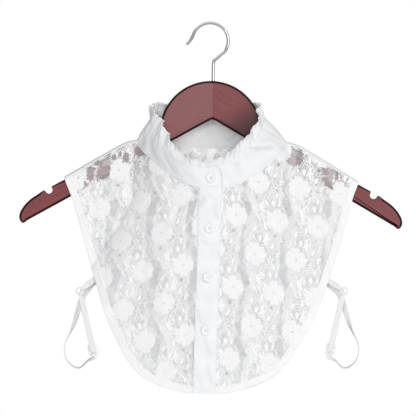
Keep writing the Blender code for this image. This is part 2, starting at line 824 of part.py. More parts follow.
# Each strap's place: the ring, the slider, and the fall of the free loop, given
# on the left and mirrored with the right one's own shift.
STRAPS = [
    # side    sign  ring out  slider out  up
    ("left", -1.0, 0.0, 0.0, 0.0),
    ("right", 1.0, 5.2, 7.2, 5.1),
]
RING_AT = (150.0, -10.5, -311.4)
SLIDER_AT = (133.7, -10.5, -378.9)
# Free loop, from below the slider round to the back panel's edge.
LOOP = [
    # out     y      z       flat  width
    (134.4, -10.9, -389.2, 30.0, 5.0),
    (137.6, -8.6, -390.8, 58.0, 5.0),
    (140.9, -6.8, -393.2, 74.0, 5.6),
    (143.7, -5.8, -396.4, 78.0, 6.2),
    (147.0, -5.0, -399.3, 76.0, 6.2),
    (151.0, -4.2, -400.6, 76.0, 6.2),
    (155.9, -3.4, -399.2, 80.0, 6.2),
    (160.9, -2.2, -395.3, 84.0, 6.2),
    (164.7, -1.0, -390.2, 88.0, 6.2),
    (166.7, 0.2, -383.5, 90.0, 6.2),
    (166.9, 1.2, -376.6, 90.0, 6.2),
    (165.4, 2.2, -370.0, 88.0, 6.2),
    (162.6, 3.0, -363.6, 84.0, 6.2),
    (159.5, 3.8, -357.0, 72.0, 6.2),
    (156.5, 4.5, -349.6, 46.0, 6.2),
    (153.6, 5.1, -340.0, 24.0, 6.2),
    (150.9, 5.6, -330.4, 8.0, 6.2),
    (148.2, 5.9, -321.8, 2.0, 6.2),
    (144.7, 6.0, -315.0, 0.0, 6.2),
]


def straps(side_name, sign, ring_out_by, slider_out_by, up_shift):
    rx, ry, rz = RING_AT
    sx, sy, sz = SLIDER_AT
    rx, sx, rz, sz = rx + ring_out_by, sx + slider_out_by, rz + up_shift, sz + up_shift
    ring("ring_" + side_name, sign * rx, ry, rz, RING_R, RING_WIRE, FITTING)

    # Doubled run, from the slider's middle bar up, round the ring and down.
    fall = np.array([sx - rx, sz - rz])
    fall /= np.linalg.norm(fall)
    low = np.array([rx, rz]) + fall * (RING_R - 0.45)
    turn_r = RING_WIRE + 0.65 + GAP + STRAP_T / 2
    path = []

    def add(at, y, width, flat=0.0):
        path.append((sign * at[0], y, at[1], flat, width))

    middle = np.array([sx, sz])
    front, rear = sy - 1.9, sy + 0.9
    under_bind = BIND_T / 2 + GAP + STRAP_T / 2
    add(middle + fall * 1.9, sy - 1.75, STRAP_W)
    add(middle - fall * 2.0, sy - 2.3, STRAP_W)
    add(middle - fall * 6.0, sy - 3.35, STRAP_W)
    add(middle - fall * 12.0, front - 0.6, STRAP_W)
    long = float(np.dot(low - middle, -fall))
    for share in (0.35, 0.6, 0.8):
        add(middle - fall * long * share, front - 0.2, STRAP_W)
    add(low + fall * 4.6, ry - 1.9, 5.4)
    for angle in (205, 180, 155, 130, 105, 90, 75, 50, 25, 0, -25):
        a = math.radians(angle)
        add(low - fall * turn_r * math.sin(a), ry + turn_r * math.cos(a), 2.9)
    add(low + fall * 4.6, ry + 1.7, 5.4)
    for share in (0.8, 0.6, 0.35):
        add(middle - fall * long * share, rear + 0.1, STRAP_W)
    add(middle - fall * 11.0, sy - 0.2, STRAP_W)
    add(middle - fall * 5.2, sy - 1.5, STRAP_W)
    add(middle - fall * 2.6, sy + 0.2, STRAP_W)
    add(middle, sy + 1.75, STRAP_W)
    add(middle + fall * 2.6, sy + 0.2, STRAP_W)
    add(middle + fall * 5.2, sy - 2.4, STRAP_W)
    add(middle + fall * 6.6, sy - 2.6, STRAP_W)
    add(middle + fall * 8.0, sy - 2.5, 5.8, 4.0 * sign)
    for out, y, z, flat, width in LOOP:
        share = min(1.0, (RING_AT[2] - z) / (RING_AT[2] - SLIDER_AT[2]))
        out += lerp(ring_out_by, slider_out_by, share)
        path.append((sign * out, y, z + up_shift, -sign * flat, width))
    edge_z = -300.5 + up_shift
    edge_x = float(np.interp(edge_z, outline_points()[:, 1], outline_points()[:, 0]))
    for out, up, clear in ((3.6, -4.4, 1.6), (-0.8, 0.4, 0.9), (-5.4, 4.6, 0.9)):
        x, z = edge_x + out, edge_z + up
        y = float(cloth_y("back", sign * min(x, edge_x), z)) - under_bind - clear
        path.append((sign * x, y, z, 0.0, STRAP_W))
    band("strap_" + side_name, path, ELASTIC)

    # Tab from the front's edge out to the ring, round it and back.
    edge_z = -298.3 + up_shift
    edge_x = float(np.interp(edge_z, outline_points()[:, 1], outline_points()[:, 0]))
    way = np.array([edge_x - rx, edge_z - rz])
    way /= np.linalg.norm(way)
    near = np.array([rx, rz]) + way * (RING_R - 0.45)
    path = []
    # "way" runs from the ring to the edge; the tab starts under the bound edge.
    for inward in (7.0, 2.0, -2.0):
        at = np.array([edge_x, edge_z]) + way * inward
        y = float(cloth_y("front", sign * min(at[0], edge_x), at[1]))
        add(at, y + under_bind + 1.6, STRAP_W)
    add(near + way * 7.5, ry + 2.0, STRAP_W)
    add(near + way * 4.0, ry + 1.9, 5.2)
    for angle in (-25, 0, 25, 50, 75, 90, 105, 130, 155, 180, 205):
        a = math.radians(angle)
        add(near - way * turn_r * math.sin(a), ry + turn_r * math.cos(a), 2.9)
    add(near + way * 4.0, ry - 1.5, 5.2)
    add(near + way * 7.0, ry - 0.35, STRAP_W)
    add(near + way * 10.0, ry - 0.1, STRAP_W)
    band("strap_tab_" + side_name, path, ELASTIC)

    # Slider: a flat frame with a middle bar.
    wide, tall, bar, rail, thick = 11.4, 12.4, 1.5, 1.7, 1.3
    across = np.array([-fall[1], fall[0]])
    outer = [(-wide / 2, -tall / 2), (wide / 2, -tall / 2), (wide / 2, tall / 2), (-wide / 2, tall / 2)]

    def frame_box(name, half_a, half_b, centre_b, half_y, hidden):
        points = []
        for y in (-half_y, half_y):
            for a, b in ((-1, -1), (1, -1), (1, 1), (-1, 1)):
                at = middle + across * a * half_a + fall * (centre_b + b * half_b)
                points.append((sign * at[0], sy + y, at[1]))
        faces = [(0, 1, 2, 3), (7, 6, 5, 4)]
        faces += [(i, 4 + i, 4 + (i + 1) % 4, (i + 1) % 4) for i in range(4)]
        made = solid(name, points, faces, None if hidden else FITTING)
        return cutter(made) if hidden else made

    body = frame_box("slider_" + side_name, wide / 2, tall / 2, 0.0, thick / 2, False)
    window = (tall - 3 * bar) / 2
    for k in (-1, 1):
        hole = frame_box(
            "slider_window", wide / 2 - rail, window / 2, k * (bar + window) / 2, 4.0, True
        )
        cut(body, hole)
    rounding = body.modifiers.new("edges", "BEVEL")
    rounding.width = 0.4 * MM
    rounding.segments = 2
    rounding.limit_method = "ANGLE"


for row in STRAPS:
    straps(*row)
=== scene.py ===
"""Looks of the detachable lace collar on its wooden hanger.

The fine pieces stand on the part's own form: the sizes, tables and functions
of the first half are those of the part, so each piece here follows its solid.
Lengths are in millimetres, in the garment's frame (its middle plane lies
HOOK_OFFSET to the right of the hook's top), and become metres where a mesh is
made."""

import math

import bmesh
import bpy
import numpy as np
from mathutils import Matrix, Vector


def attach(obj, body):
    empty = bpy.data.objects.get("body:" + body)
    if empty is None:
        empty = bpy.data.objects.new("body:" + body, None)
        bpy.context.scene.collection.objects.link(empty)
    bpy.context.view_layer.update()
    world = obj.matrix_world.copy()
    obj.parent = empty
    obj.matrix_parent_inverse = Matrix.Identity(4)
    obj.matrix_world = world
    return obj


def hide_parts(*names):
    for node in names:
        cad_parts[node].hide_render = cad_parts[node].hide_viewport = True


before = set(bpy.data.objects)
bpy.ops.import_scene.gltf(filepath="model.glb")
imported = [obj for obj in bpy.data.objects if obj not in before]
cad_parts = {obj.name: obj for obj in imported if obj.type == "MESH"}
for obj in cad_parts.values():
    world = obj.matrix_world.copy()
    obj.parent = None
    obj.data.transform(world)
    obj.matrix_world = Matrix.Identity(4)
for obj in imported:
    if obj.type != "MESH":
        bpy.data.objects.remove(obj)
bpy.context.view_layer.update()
MM = 0.001

# ------------------------------------------------------------- driving sizes
GAP = 0.3                    # between pieces that meet
HOOK_OFFSET = 4.0            # hanger's middle plane, to the right of the hook's top

WIRE_R = 1.8                 # hook wire
HOOK_R = 20.8                # hook bend, to the middle of the wire
HOOK_BORE = 2.15             # hole in the wood for the shank
SHANK_IN_WOOD = 24.0

BOARD_HALF = 6.0             # half the hanger's thickness
BOARD_EDGE = 2.4             # rounding of its rims
HUMP_R, HUMP_X, HUMP_TOP = 59.0, -1.7, -65.6
ARM_TOP_Z0, ARM_TOP_SLOPE = -89.9, 0.5446
ARM_LOW_Z0, ARM_LOW_SLOPE = -109.4, 0.5695
NOTCH_X, NOTCH_R, NOTCH_DEPTH = 189.2, 4.3, 6.6

DRAPE_Y = 8.0                # middle of the cloth from the arm's middle plane
WRAP = 8.0                   # depth over which the cloth turns round the arm
LACE_T = 1.0                 # lace wall
WOVEN_T = 1.2                # stand wall
FRILL_T = 1.0
PLACKET_T = 1.0
PLACKET_HALF = 13.35
BIND_T, BIND_W = 1.5, 9.0    # bound edge: thickness and width

NECK_HALF = 86.4             # neck seam, half its width
FRONT_NECK_Y, BACK_NECK_Y = 38.0, 34.0
FRONT_HEM_Y, BACK_HEM_Y = 23.0, 15.0
STAND_TOP_HALF = 66.0
STAND_TOP_FRONT_Y, STAND_TOP_BACK_Y = 35.0, 34.0
STAND_LEAN = -6.0            # the stand's top sits this far to one side
STAND_TILT = 2.6             # and this much higher on the right

STRAP_W, STRAP_T = 6.2, 1.0
RING_R, RING_WIRE = 4.1, 0.8

# Outline of the fronts and the back, half of it: distance out, height.
OUTLINE = [
    # out     height
    (0.0, -427.8),
    (30.0, -425.6),
    (55.0, -418.4),
    (75.5, -408.2),
    (92.2, -390.8),
    (104.2, -370.0),
    (115.2, -350.0),
    (123.7, -330.0),
    (133.8, -300.0),
    (143.0, -270.0),
    (151.9, -240.0),
    (157.8, -218.0),
    (163.2, -200.0),
    (170.6, None),           # on the shoulder line
]

# How far the outer cloth hangs to the right of the middle.
SWAY = [
    # below  right
    (190.0, 0.0),
    (215.0, 1.2),
    (290.0, 1.6),
    (340.0, 0.7),
    (365.0, -0.4),
    (395.0, -1.1),
    (430.0, -1.1),
]

# Shoulder line: the height of the cloth's middle above the arm's top.
SHOULDER = [
    # out    above
    (86.4, 1.2),
    (91.0, 2.6),
    (98.0, 4.5),
    (110.0, 5.1),
    (125.0, 4.5),
    (140.0, 4.0),
    (150.0, 3.3),
    (161.0, 2.6),
    (172.0, 2.2),
]

# Rounded tip of an arm, from its top edge round to its lower one.
TIP = [
    # out     height
    (200.0, -199.6),
    (207.0, -204.3),
    (213.9, -210.6),
    (218.6, -216.8),
    (221.4, -223.0),
    (221.8, -227.6),
    (220.6, -231.0),
]

# Neck seam and the stand's top seam, by the angle from centre front.
RING = [
    # angle  neck z   stand top z
    (0.0, -188.6, -166.4),
    (15.0, -186.0, -163.3),
    (30.0, -177.0, -156.6),
    (45.0, -163.3, -145.0),
    (60.0, -151.5, -133.0),
    (75.0, -142.9, -120.5),
    (90.0, -135.9, -109.5),
    (105.0, -136.8, -111.0),
    (120.0, -138.2, -112.6),
    (150.0, -141.0, -115.6),
    (180.0, -142.0, -116.5),
]

# Largest folds of the fronts and the back: a trough or ridge from one point to
# another, its half width and its depth (a ridge is negative).
FOLDS = [
    # side    x0      z0      x1      z1     half  depth
    ("front", -62.0, -262.0, -104.0, -352.0, 17.0, 3.2),
    ("front", -38.0, -205.0, -52.0, -330.0, 14.0, -1.8),
    ("front", -120.0, -215.0, -128.0, -290.0, 16.0, 2.0),
    ("front", 52.0, -225.0, 66.0, -372.0, 16.0, -2.4),
    ("front", 92.0, -235.0, 108.0, -335.0, 17.0, 2.8),
    ("front", 132.0, -210.0, 138.0, -275.0, 13.0, -1.6),
    ("back", -70.0, -190.0, -88.0, -350.0, 20.0, 2.8),
    ("back", 6.0, -210.0, -2.0, -390.0, 22.0, -2.4),
    ("back", 74.0, -200.0, 84.0, -340.0, 19.0, 3.0),
]



# Smaller folds, placed one by one; a ridge is negative.
FOLDS += [
    # side    x0      z0      x1      z1     half  depth
    ("front", -124.0, -277.0, -70.0, -311.0, 5.0, 1.7),
    ("front", -118.0, -285.0, -66.0, -318.0, 5.5, -1.1),
    ("front", -95.0, -275.0, -118.0, -352.0, 4.5, 1.0),
    ("front", -78.0, -262.0, -80.0, -352.0, 2.6, 0.5),
    ("front", -71.0, -266.0, -72.0, -346.0, 2.4, -0.5),
    ("front", -64.0, -262.0, -63.0, -350.0, 2.8, 0.55),
    ("front", -56.0, -268.0, -53.0, -342.0, 2.6, -0.45),
    ("front", -34.0, -196.0, -42.0, -250.0, 4.0, 0.8),
    ("front", -24.0, -330.0, -30.0, -410.0, 4.6, 0.8),
    ("front", -60.0, -178.0, -84.0, -232.0, 5.0, 0.9),
    ("front", -96.0, -170.0, -112.0, -220.0, 5.0, -0.8),
    ("front", -140.0, -192.0, -134.0, -240.0, 4.0, 0.8),
    ("front", 26.0, -200.0, 34.0, -262.0, 4.0, 0.8),
    ("front", 36.0, -318.0, 32.0, -402.0, 4.8, -0.8),
    ("front", 62.0, -172.0, 82.0, -226.0, 4.8, 0.9),
    ("front", 74.0, -330.0, 84.0, -388.0, 4.4, 0.9),
    ("front", 80.0, -384.0, 64.0, -404.0, 3.6, 1.4),
    ("front", 104.0, -178.0, 116.0, -228.0, 5.0, -0.8),
    ("front", 122.0, -246.0, 130.0, -310.0, 4.4, 0.8),
    ("front", 46.0, -262.0, 56.0, -322.0, 3.8, 0.6),
    ("back", -110.0, -200.0, -122.0, -296.0, 8.0, 1.2),
    ("back", -38.0, -170.0, -46.0, -262.0, 6.0, -1.0),
    ("back", 34.0, -180.0, 42.0, -290.0, 6.5, 1.0),
    ("back", 112.0, -190.0, 126.0, -280.0, 7.5, -1.2),
    ("back", -20.0, -300.0, -26.0, -400.0, 6.0, 1.0),
    ("back", 52.0, -310.0, 48.0, -404.0, 6.0, -1.0),
    ("back", -12.0, -158.0, 10.0, -172.0, 4.0, 0.8),
]

# ------------------------------------------------------------ small functions
def smooth(value):
    value = np.clip(value, 0.0, 1.0)
    return value * value * (3.0 - 2.0 * value)


def spline(table, at):
    """Smooth curve through rows (parameter, value), read at some parameters."""
    rows = np.array(table, float)
    t, v = rows[:, 0], rows[:, 1]
    slope = np.gradient(v, t)
    at = np.clip(np.asarray(at, float), t[0], t[-1])
    i = np.clip(np.searchsorted(t, at, side="right") - 1, 0, len(t) - 2)
    h = t[i + 1] - t[i]
    s = (at - t[i]) / h
    return (
        (2 * s**3 - 3 * s**2 + 1) * v[i]
        + (s**3 - 2 * s**2 + s) * h * slope[i]
        + (-2 * s**3 + 3 * s**2) * v[i + 1]
        + (s**3 - s**2) * h * slope[i + 1]
    )


def lerp(a, b, s):
    return a + (b - a) * s


def shoulder_z(x):
    """Height of the shoulder line, which lies along the arms' tops."""
    out = np.abs(np.asarray(x, float))
    return ARM_TOP_Z0 - ARM_TOP_SLOPE * out + spline(SHOULDER, out)


def folds(side, x, z):
    total = np.zeros_like(x)
    for where, x0, z0, x1, z1, half, depth in FOLDS:
        if where != side:
            continue
        dx, dz = x1 - x0, z1 - z0
        long = math.hypot(dx, dz)
        along = ((x - x0) * dx + (z - z0) * dz) / long**2
        across = ((x - x0) * dz - (z - z0) * dx) / long
        end = smooth(along / 0.35) * smooth((1.0 - along) / 0.35)
        total += depth * end * np.exp(-((across / half) ** 2))
    return total


def cloth_y(side, x, z):
    """Depth of the cloth's middle: round the arm's top, then out to the neck
    seam and down to the hem in one fall, with the largest folds."""
    x, z = np.asarray(x, float), np.asarray(z, float)
    front = side == "front"
    below = shoulder_z(x) - z
    turn = np.clip(below / WRAP, 0.0, 1.0)
    wrap = (1.0 - (1.0 - turn) ** 3) ** (1.0 / 3.0)
    top_z = -188.6 if front else -142.0
    neck = (FRONT_NECK_Y if front else BACK_NECK_Y) - DRAPE_Y
    hem = (FRONT_HEM_Y if front else BACK_HEM_Y) - DRAPE_Y
    down = np.clip((top_z - z) / (top_z + 427.8), 0.0, 1.0)
    rise = neck + (hem - neck) * down**0.85
    reach = 90.0 + 54.0 * smooth(down / 0.5)
    swell = np.clip(1.0 - (x / reach) ** 2, 0.0, 1.0) ** 0.75
    out = DRAPE_Y * wrap + rise * swell * smooth(below / 16.0)
    out = out - folds(side, x, z) * smooth((below - 14.0) / 30.0)
    out = np.maximum(out, 0.2)
    return -out if front else out


def normals(grid):
    """Unit normals of a grid of points, from its neighbours."""
    along = np.gradient(grid, axis=0)
    across = np.gradient(grid, axis=1)
    n = np.cross(along, across)
    return n / np.maximum(np.linalg.norm(n, axis=2, keepdims=True), 1e-9)


def arc(cx, cz, r, start, end, count):
    turn = np.radians(np.linspace(start, end, count))
    return [(cx + r * math.cos(a), cz + r * math.sin(a)) for a in turn]


def arm_top(x):
    return ARM_TOP_Z0 - ARM_TOP_SLOPE * abs(x)


def arm_low(x):
    return ARM_LOW_Z0 - ARM_LOW_SLOPE * abs(x)


def hook_path():
    """Middle line of the wire from its flicked tip round the bend and down the
    shank. The bend's centre is HOOK_OFFSET to the left of the shank."""
    cx, cz = -HOOK_OFFSET, WIRE_R - HOOK_R
    points = [(cx - 26.1, cz - 3.6), (cx - 24.2, cz - 1.4), (cx - 22.3, cz + 1.2)]
    points += arc(cx, cz, HOOK_R, 162.0, -18.0, 30)
    ends = [(cx + 17.3, cz - 12.0), (cx + 13.2, cz - 15.6), (cx + 8.6, cz - 19.6)]
    points += ends
    points += [(0.9, -42.2), (0.15, -45.0), (0.0, -48.0), (0.0, -56.0)]
    points += [(0.0, HUMP_TOP - SHANK_IN_WOOD)]
    return points


def outline_points():
    """Rows of OUTLINE with the shoulder's height filled in."""
    return np.array([(x, shoulder_z(x) if z is None else z) for x, z in OUTLINE])


def along_outline(count, start_x):
    """Points evenly spaced from start_x near the hem to just under the shoulder
    line, then rows that turn round the arm, each with its unit inward normal."""
    rows = outline_points()
    step = np.r_[0.0, np.cumsum(np.hypot(*np.diff(rows, axis=0).T))]
    fine = np.linspace(0.0, step[-1], 1200)
    x = spline(np.c_[step, rows[:, 0]], fine)
    z = spline(np.c_[step, rows[:, 1]], fine)
    below = shoulder_z(x) - z
    first = np.interp(start_x, x, fine)
    last = np.interp(-TURN_ROWS[0], -below, fine)
    at = np.r_[
        np.linspace(first, last, count), np.interp(-np.array(TURN_ROWS[1:]), -below, fine)
    ]
    px, pz = np.interp(at, fine, x), np.interp(at, fine, z)
    dx, dz = np.gradient(x, fine), np.gradient(z, fine)
    tx, tz = np.interp(at, fine, dx), np.interp(at, fine, dz)
    long = np.hypot(tx, tz)
    nx, nz = -tz / long, tx / long
    lean = math.atan(ARM_TOP_SLOPE)
    share = smooth((np.interp(at, fine, below) - 9.0) / 25.0)
    nx = lerp(-math.cos(lean), nx, share)
    nz = lerp(math.sin(lean), nz, share)
    long = np.hypot(nx, nz)
    return px, pz, nx / long, nz / long


TURN_ROWS = [9.0, 7.2, 5.6, 4.2, 3.0, 2.0, 1.2, 0.6, 0.25, 0.06, 0.0]   # depths under the shoulder line
EDGE_STEPS, EDGE_START = 18, 15.75       # columns of a panel and of its bound edge


def ring_xyz(angle, level):
    """The neck seam (level 0), the stand's top seam (level 1) or between them."""
    turn = np.abs((np.asarray(angle, float) + 180.0) % 360.0 - 180.0)
    side = np.sin(np.radians(np.asarray(angle, float)))
    back = np.cos(np.radians(np.asarray(angle, float))) < 0.0
    table = np.array(RING)
    x0 = NECK_HALF * side
    z0 = spline(table[:, [0, 1]], turn)
    y0 = np.where(back, cloth_y("back", x0, z0), cloth_y("front", x0, z0))
    x1 = STAND_LEAN + STAND_TOP_HALF * side
    z1 = spline(table[:, [0, 2]], turn) + STAND_TILT * side
    deep = np.where(back, STAND_TOP_BACK_Y, STAND_TOP_FRONT_Y)
    y1 = -deep * np.cos(np.radians(np.asarray(angle, float)))
    return np.stack(
        [lerp(x0, x1, level), lerp(y0, y1, level), lerp(z0, z1, level)], axis=-1
    )


def ring_out(angle):
    """Outward direction of the stand's top seam, in plan."""
    a = np.radians(np.asarray(angle, float))
    n = np.stack(
        [np.sin(a) / STAND_TOP_HALF, -np.cos(a) / STAND_TOP_FRONT_Y, 0 * a], axis=-1
    )
    return n / np.linalg.norm(n, axis=-1, keepdims=True)


def placket_middle(z):
    """The placket leans a little to the left as it goes down."""
    return lerp(-0.4, -4.4, np.clip((-188.0 - z) / 240.0, 0.0, 1.0))


def along_neck(count, start_x, side):
    """Neck seam points from start_x out to the shoulder, by even steps and then
    the rows that turn round the arm."""
    fine = np.linspace(0.0, 90.0, 900) if side == "front" else np.linspace(180.0, 90.0, 900)
    p = ring_xyz(fine, 0.0)
    x, z = p[:, 0], p[:, 2]
    below = shoulder_z(x) - z
    step = np.r_[0.0, np.cumsum(np.linalg.norm(np.diff(p, axis=0), axis=1))]
    first = np.interp(start_x, x, step)
    last = np.interp(-TURN_ROWS[0], -below, step)
    at = np.r_[
        np.linspace(first, last, count), np.interp(-np.array(TURN_ROWS[1:]), -below, step)
    ]
    return np.interp(at, step, x), np.interp(at, step, z)


def panel_grid(side, count, rows, start_x, trim):
    """Grid of a panel's half: fans from the neck seam to the bound edge."""
    nx, nz = along_neck(count, start_x, side)
    px, pz, ix, iz = along_outline(count, start_x)
    ex, ez = px + trim * ix, pz + trim * iz
    v = np.linspace(0.0, 1.0, rows)
    gx = nx[:, None] * (1 - v) + ex[:, None] * v
    gz = nz[:, None] * (1 - v) + ez[:, None] * v
    return gx, gz


def lifted(side, gx, gz):
    aside = spline(SWAY, -gz) * smooth((np.abs(gx) - 40.0) / 60.0)
    return np.stack([gx + aside, cloth_y(side, gx, gz), gz], axis=-1)


def to_placket(sign, gx, gz):
    """Moves a right-hand grid's first columns so that its inner edge follows the
    leaning placket, and mirrors it for the left."""
    edge = placket_middle(gz[0]) + sign * (PLACKET_HALF + GAP)
    pull = (sign * edge - gx[0])[None, :]
    fade = 1.0 - smooth(np.arange(gx.shape[0]) / 7.0)[:, None]
    return sign * (gx + pull * fade)

def lap(angle):
    """The stand's ends pass over each other in front: the left one outside."""
    over = smooth((angle - 332.0) / 18.0)
    under = smooth((26.0 - angle) / 16.0)
    return 1.0 * over - 1.0 * under


# The frill's height and how far its top falls to the side, all the way round.
FRILL = [
    # angle  height  to the right
    (0.0, 4.5, 0.0),
    (9.0, 6.5, 0.0),
    (24.0, 12.0, 0.0),
    (45.0, 14.0, 0.0),
    (65.0, 15.0, -3.0),
    (80.0, 15.5, -6.0),
    (95.0, 15.5, -7.6),
    (112.0, 19.0, -6.5),
    (135.0, 21.5, -1.5),
    (180.0, 21.0, 0.0),
    (220.0, 21.5, 0.0),
    (242.0, 22.5, 1.0),
    (258.0, 18.0, 1.0),
    (269.0, 14.0, 1.0),
    (282.0, 16.0, 6.0),
    (298.0, 17.5, 7.5),
    (316.0, 14.0, 3.5),
    (331.0, 10.5, 0.0),
    (346.0, 7.5, 0.0),
    (360.0, 5.0, 0.0),
]

BUTTONS = [
    # name       x      z       on the stand
    ("button_1", -0.5, -177.9, True),
    ("button_2", -1.0, -236.0, False),
    ("button_3", -2.1, -292.7, False),
    ("button_4", -3.4, -354.2, False),
]

# Each strap's place: the ring, the slider, and the fall of the free loop, given
# on the left and mirrored with the right one's own shift.
STRAPS = [
    # side    sign  ring out  slider out  up
    ("left", -1.0, 0.0, 0.0, 0.0),
    ("right", 1.0, 5.2, 7.2, 5.1),
]
RING_AT = (150.0, -10.5, -311.4)
SLIDER_AT = (133.7, -10.5, -378.9)
# Free loop, from below the slider round to the back panel's edge.
LOOP = [
    # out     y      z       flat  width
    (134.4, -10.9, -389.2, 30.0, 5.0),
    (137.6, -8.6, -390.8, 58.0, 5.0),
    (140.9, -6.8, -393.2, 74.0, 5.6),
    (143.7, -5.8, -396.4, 78.0, 6.2),
    (147.0, -5.0, -399.3, 76.0, 6.2),
    (151.0, -4.2, -400.6, 76.0, 6.2),
    (155.9, -3.4, -399.2, 80.0, 6.2),
    (160.9, -2.2, -395.3, 84.0, 6.2),
    (164.7, -1.0, -390.2, 88.0, 6.2),
    (166.7, 0.2, -383.5, 90.0, 6.2),
    (166.9, 1.2, -376.6, 90.0, 6.2),
    (165.4, 2.2, -370.0, 88.0, 6.2),
    (162.6, 3.0, -363.6, 84.0, 6.2),
    (159.5, 3.8, -357.0, 72.0, 6.2),
    (156.5, 4.5, -349.6, 46.0, 6.2),
    (153.6, 5.1, -340.0, 24.0, 6.2),
    (150.9, 5.6, -330.4, 8.0, 6.2),
    (148.2, 5.9, -321.8, 2.0, 6.2),
    (144.7, 6.0, -315.0, 0.0, 6.2),
]


# ================================================================ mesh helpers
def mesh_of(name, points, faces, material, uv=None, values=None, angle=50.0):
    """A piece from points in millimetres. uv is one pair a point; values are
    named numbers, one a point, that its material reads."""
    mesh = bpy.data.meshes.new(name)
    p = np.array(points, float) * MM
    p[:, 0] += HOOK_OFFSET * MM
    faces = faces.tolist() if isinstance(faces, np.ndarray) else faces
    mesh.from_pydata(p.tolist(), [], faces)
    loops = np.empty(len(mesh.loops), np.int32)
    mesh.loops.foreach_get("vertex_index", loops)
    if uv is not None:
        layer = mesh.uv_layers.new(name="cloth")
        layer.uv.foreach_set("vector", np.asarray(uv, np.float32)[loops].ravel())
    for key, value in (values or {}).items():
        layer = mesh.attributes.new(key, "FLOAT", "POINT")
        layer.data.foreach_set("value", np.asarray(value, np.float32).ravel())
    mesh.shade_smooth()
    if angle:
        mesh.set_sharp_from_angle(angle=math.radians(angle))
    mesh.materials.append(material)
    obj = bpy.data.objects.new(name, mesh)
    bpy.context.scene.collection.objects.link(obj)
    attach(obj, "root")
    return obj


def quads(rows, cols, start=0):
    i, j = np.arange(rows - 1)[:, None], np.arange(cols - 1)[None, :]
    a = start + i * cols + j
    return np.stack([a, a + cols, a + cols + 1, a + 1], -1).reshape(-1, 4)


def lengths(grid):
    """Distances along both ways of a grid, averaged, as its flat coordinates."""
    du = np.linalg.norm(np.diff(grid, axis=0), axis=2).mean(axis=1)
    dv = np.linalg.norm(np.diff(grid, axis=1), axis=2).mean(axis=0)
    u, v = np.r_[0.0, np.cumsum(du)], np.r_[0.0, np.cumsum(dv)]
    return np.stack(np.broadcast_arrays(u[:, None], v[None, :]), -1)


def shell(name, grid, thick, material, shift=0.0, uv=None, values=None, flip=False):
    """A closed thin shell about a grid. thick and shift may be given a point."""
    grid = np.asarray(grid, float)
    uv = lengths(grid) if uv is None else uv
    if flip:
        grid, uv = grid[::-1], uv[::-1]
        values = {k: v[::-1] for k, v in (values or {}).items()}
        thick = thick[::-1] if np.ndim(thick) else thick
        shift = shift[::-1] if np.ndim(shift) else shift
    n = normals(grid)
    thick = np.broadcast_to(thick, grid.shape[:2])[..., None]
    shift = np.broadcast_to(shift, grid.shape[:2])[..., None]
    outer, inner = grid + n * (shift + thick / 2), grid + n * (shift - thick / 2)
    rows, cols = grid.shape[:2]
    size = rows * cols
    points = np.concatenate([outer.reshape(-1, 3), inner.reshape(-1, 3)])
    front = quads(rows, cols)
    back = quads(rows, cols, size)[:, ::-1]
    i, j = np.arange(rows), np.arange(cols)
    rim = np.r_[i * cols, (rows - 1) * cols + j[1:], (i * cols + cols - 1)[::-1][1:], j[::-1][1:-1]]
    after = np.roll(rim, -1)
    side = np.stack([after, rim, size + rim, size + after], -1)
    both = {k: np.concatenate([v.ravel(), v.ravel()]) for k, v in (values or {}).items()}
    flat = np.concatenate([uv.reshape(-1, 2), uv.reshape(-1, 2)])
    return mesh_of(name, points, np.concatenate([front, back, side]), material, flat, both)


def tube(path, radius, sides, caps=True):
    """Points and faces of a round bar along a path, with rounded ends."""
    path = np.asarray(path, float)
    radius = np.broadcast_to(np.asarray(radius, float), (len(path),)).copy()
    run = np.gradient(path, axis=0)
    run /= np.linalg.norm(run, axis=1, keepdims=True)
    helper = np.array([0.0, 1.0, 0.0]) if abs(run[0, 1]) < 0.9 else np.array([1.0, 0.0, 0.0])
    frames = []
    for t in run:
        helper = helper - t * np.dot(helper, t)
        helper /= np.linalg.norm(helper)
        frames.append(helper)
    first = np.array(frames)
    second = np.cross(run, first)
    if caps:
        turn = np.radians([80.0, 60.0, 35.0])
        start = path[0] - run[0] * radius[0] * np.sin(turn)[:, None]
        end = path[-1] + run[-1] * radius[-1] * np.sin(turn[::-1])[:, None]
        path = np.concatenate([start, path, end])
        radius = np.r_[radius[0] * np.cos(turn), radius, radius[-1] * np.cos(turn[::-1])]
        first = np.concatenate([first[[0] * 3], first, first[[-1] * 3]])
        second = np.concatenate([second[[0] * 3], second, second[[-1] * 3]])
    a = np.linspace(0, 2 * np.pi, sides, endpoint=False)
    ring = first[:, None] * np.cos(a)[None, :, None] + second[:, None] * np.sin(a)[None, :, None]
    points = (path[:, None] + ring * radius[:, None, None]).reshape(-1, 3)
    n = len(path)
    i, j = np.arange(n - 1)[:, None], np.arange(sides)[None, :]
    k = (j + 1) % sides
    faces = np.stack([i * sides + j, i * sides + k, (i + 1) * sides + k, (i + 1) * sides + j], -1)
    faces = faces.reshape(-1, 4).tolist()
    faces += [tuple(range(sides))[::-1], tuple(range((n - 1) * sides, n * sides))]
    return points, faces


class Heap:
    """Many small meshes gathered into one piece."""

    def __init__(self):
        self.points, self.faces, self.uv, self.count = [], [], [], 0

    def add(self, points, faces, uv=None):
        points = np.asarray(points, float)
        self.points.append(points)
        if isinstance(faces, np.ndarray):
            self.faces += (faces + self.count).tolist()
        else:
            self.faces += [[v + self.count for v in f] for f in faces]
        self.uv.append(np.zeros((len(points), 2)) if uv is None else np.asarray(uv, float))
        self.count += len(points)

    def piece(self, name, material, angle=60.0):
        return mesh_of(
            name, np.concatenate(self.points), self.faces, material,
            np.concatenate(self.uv), angle=angle,
        )


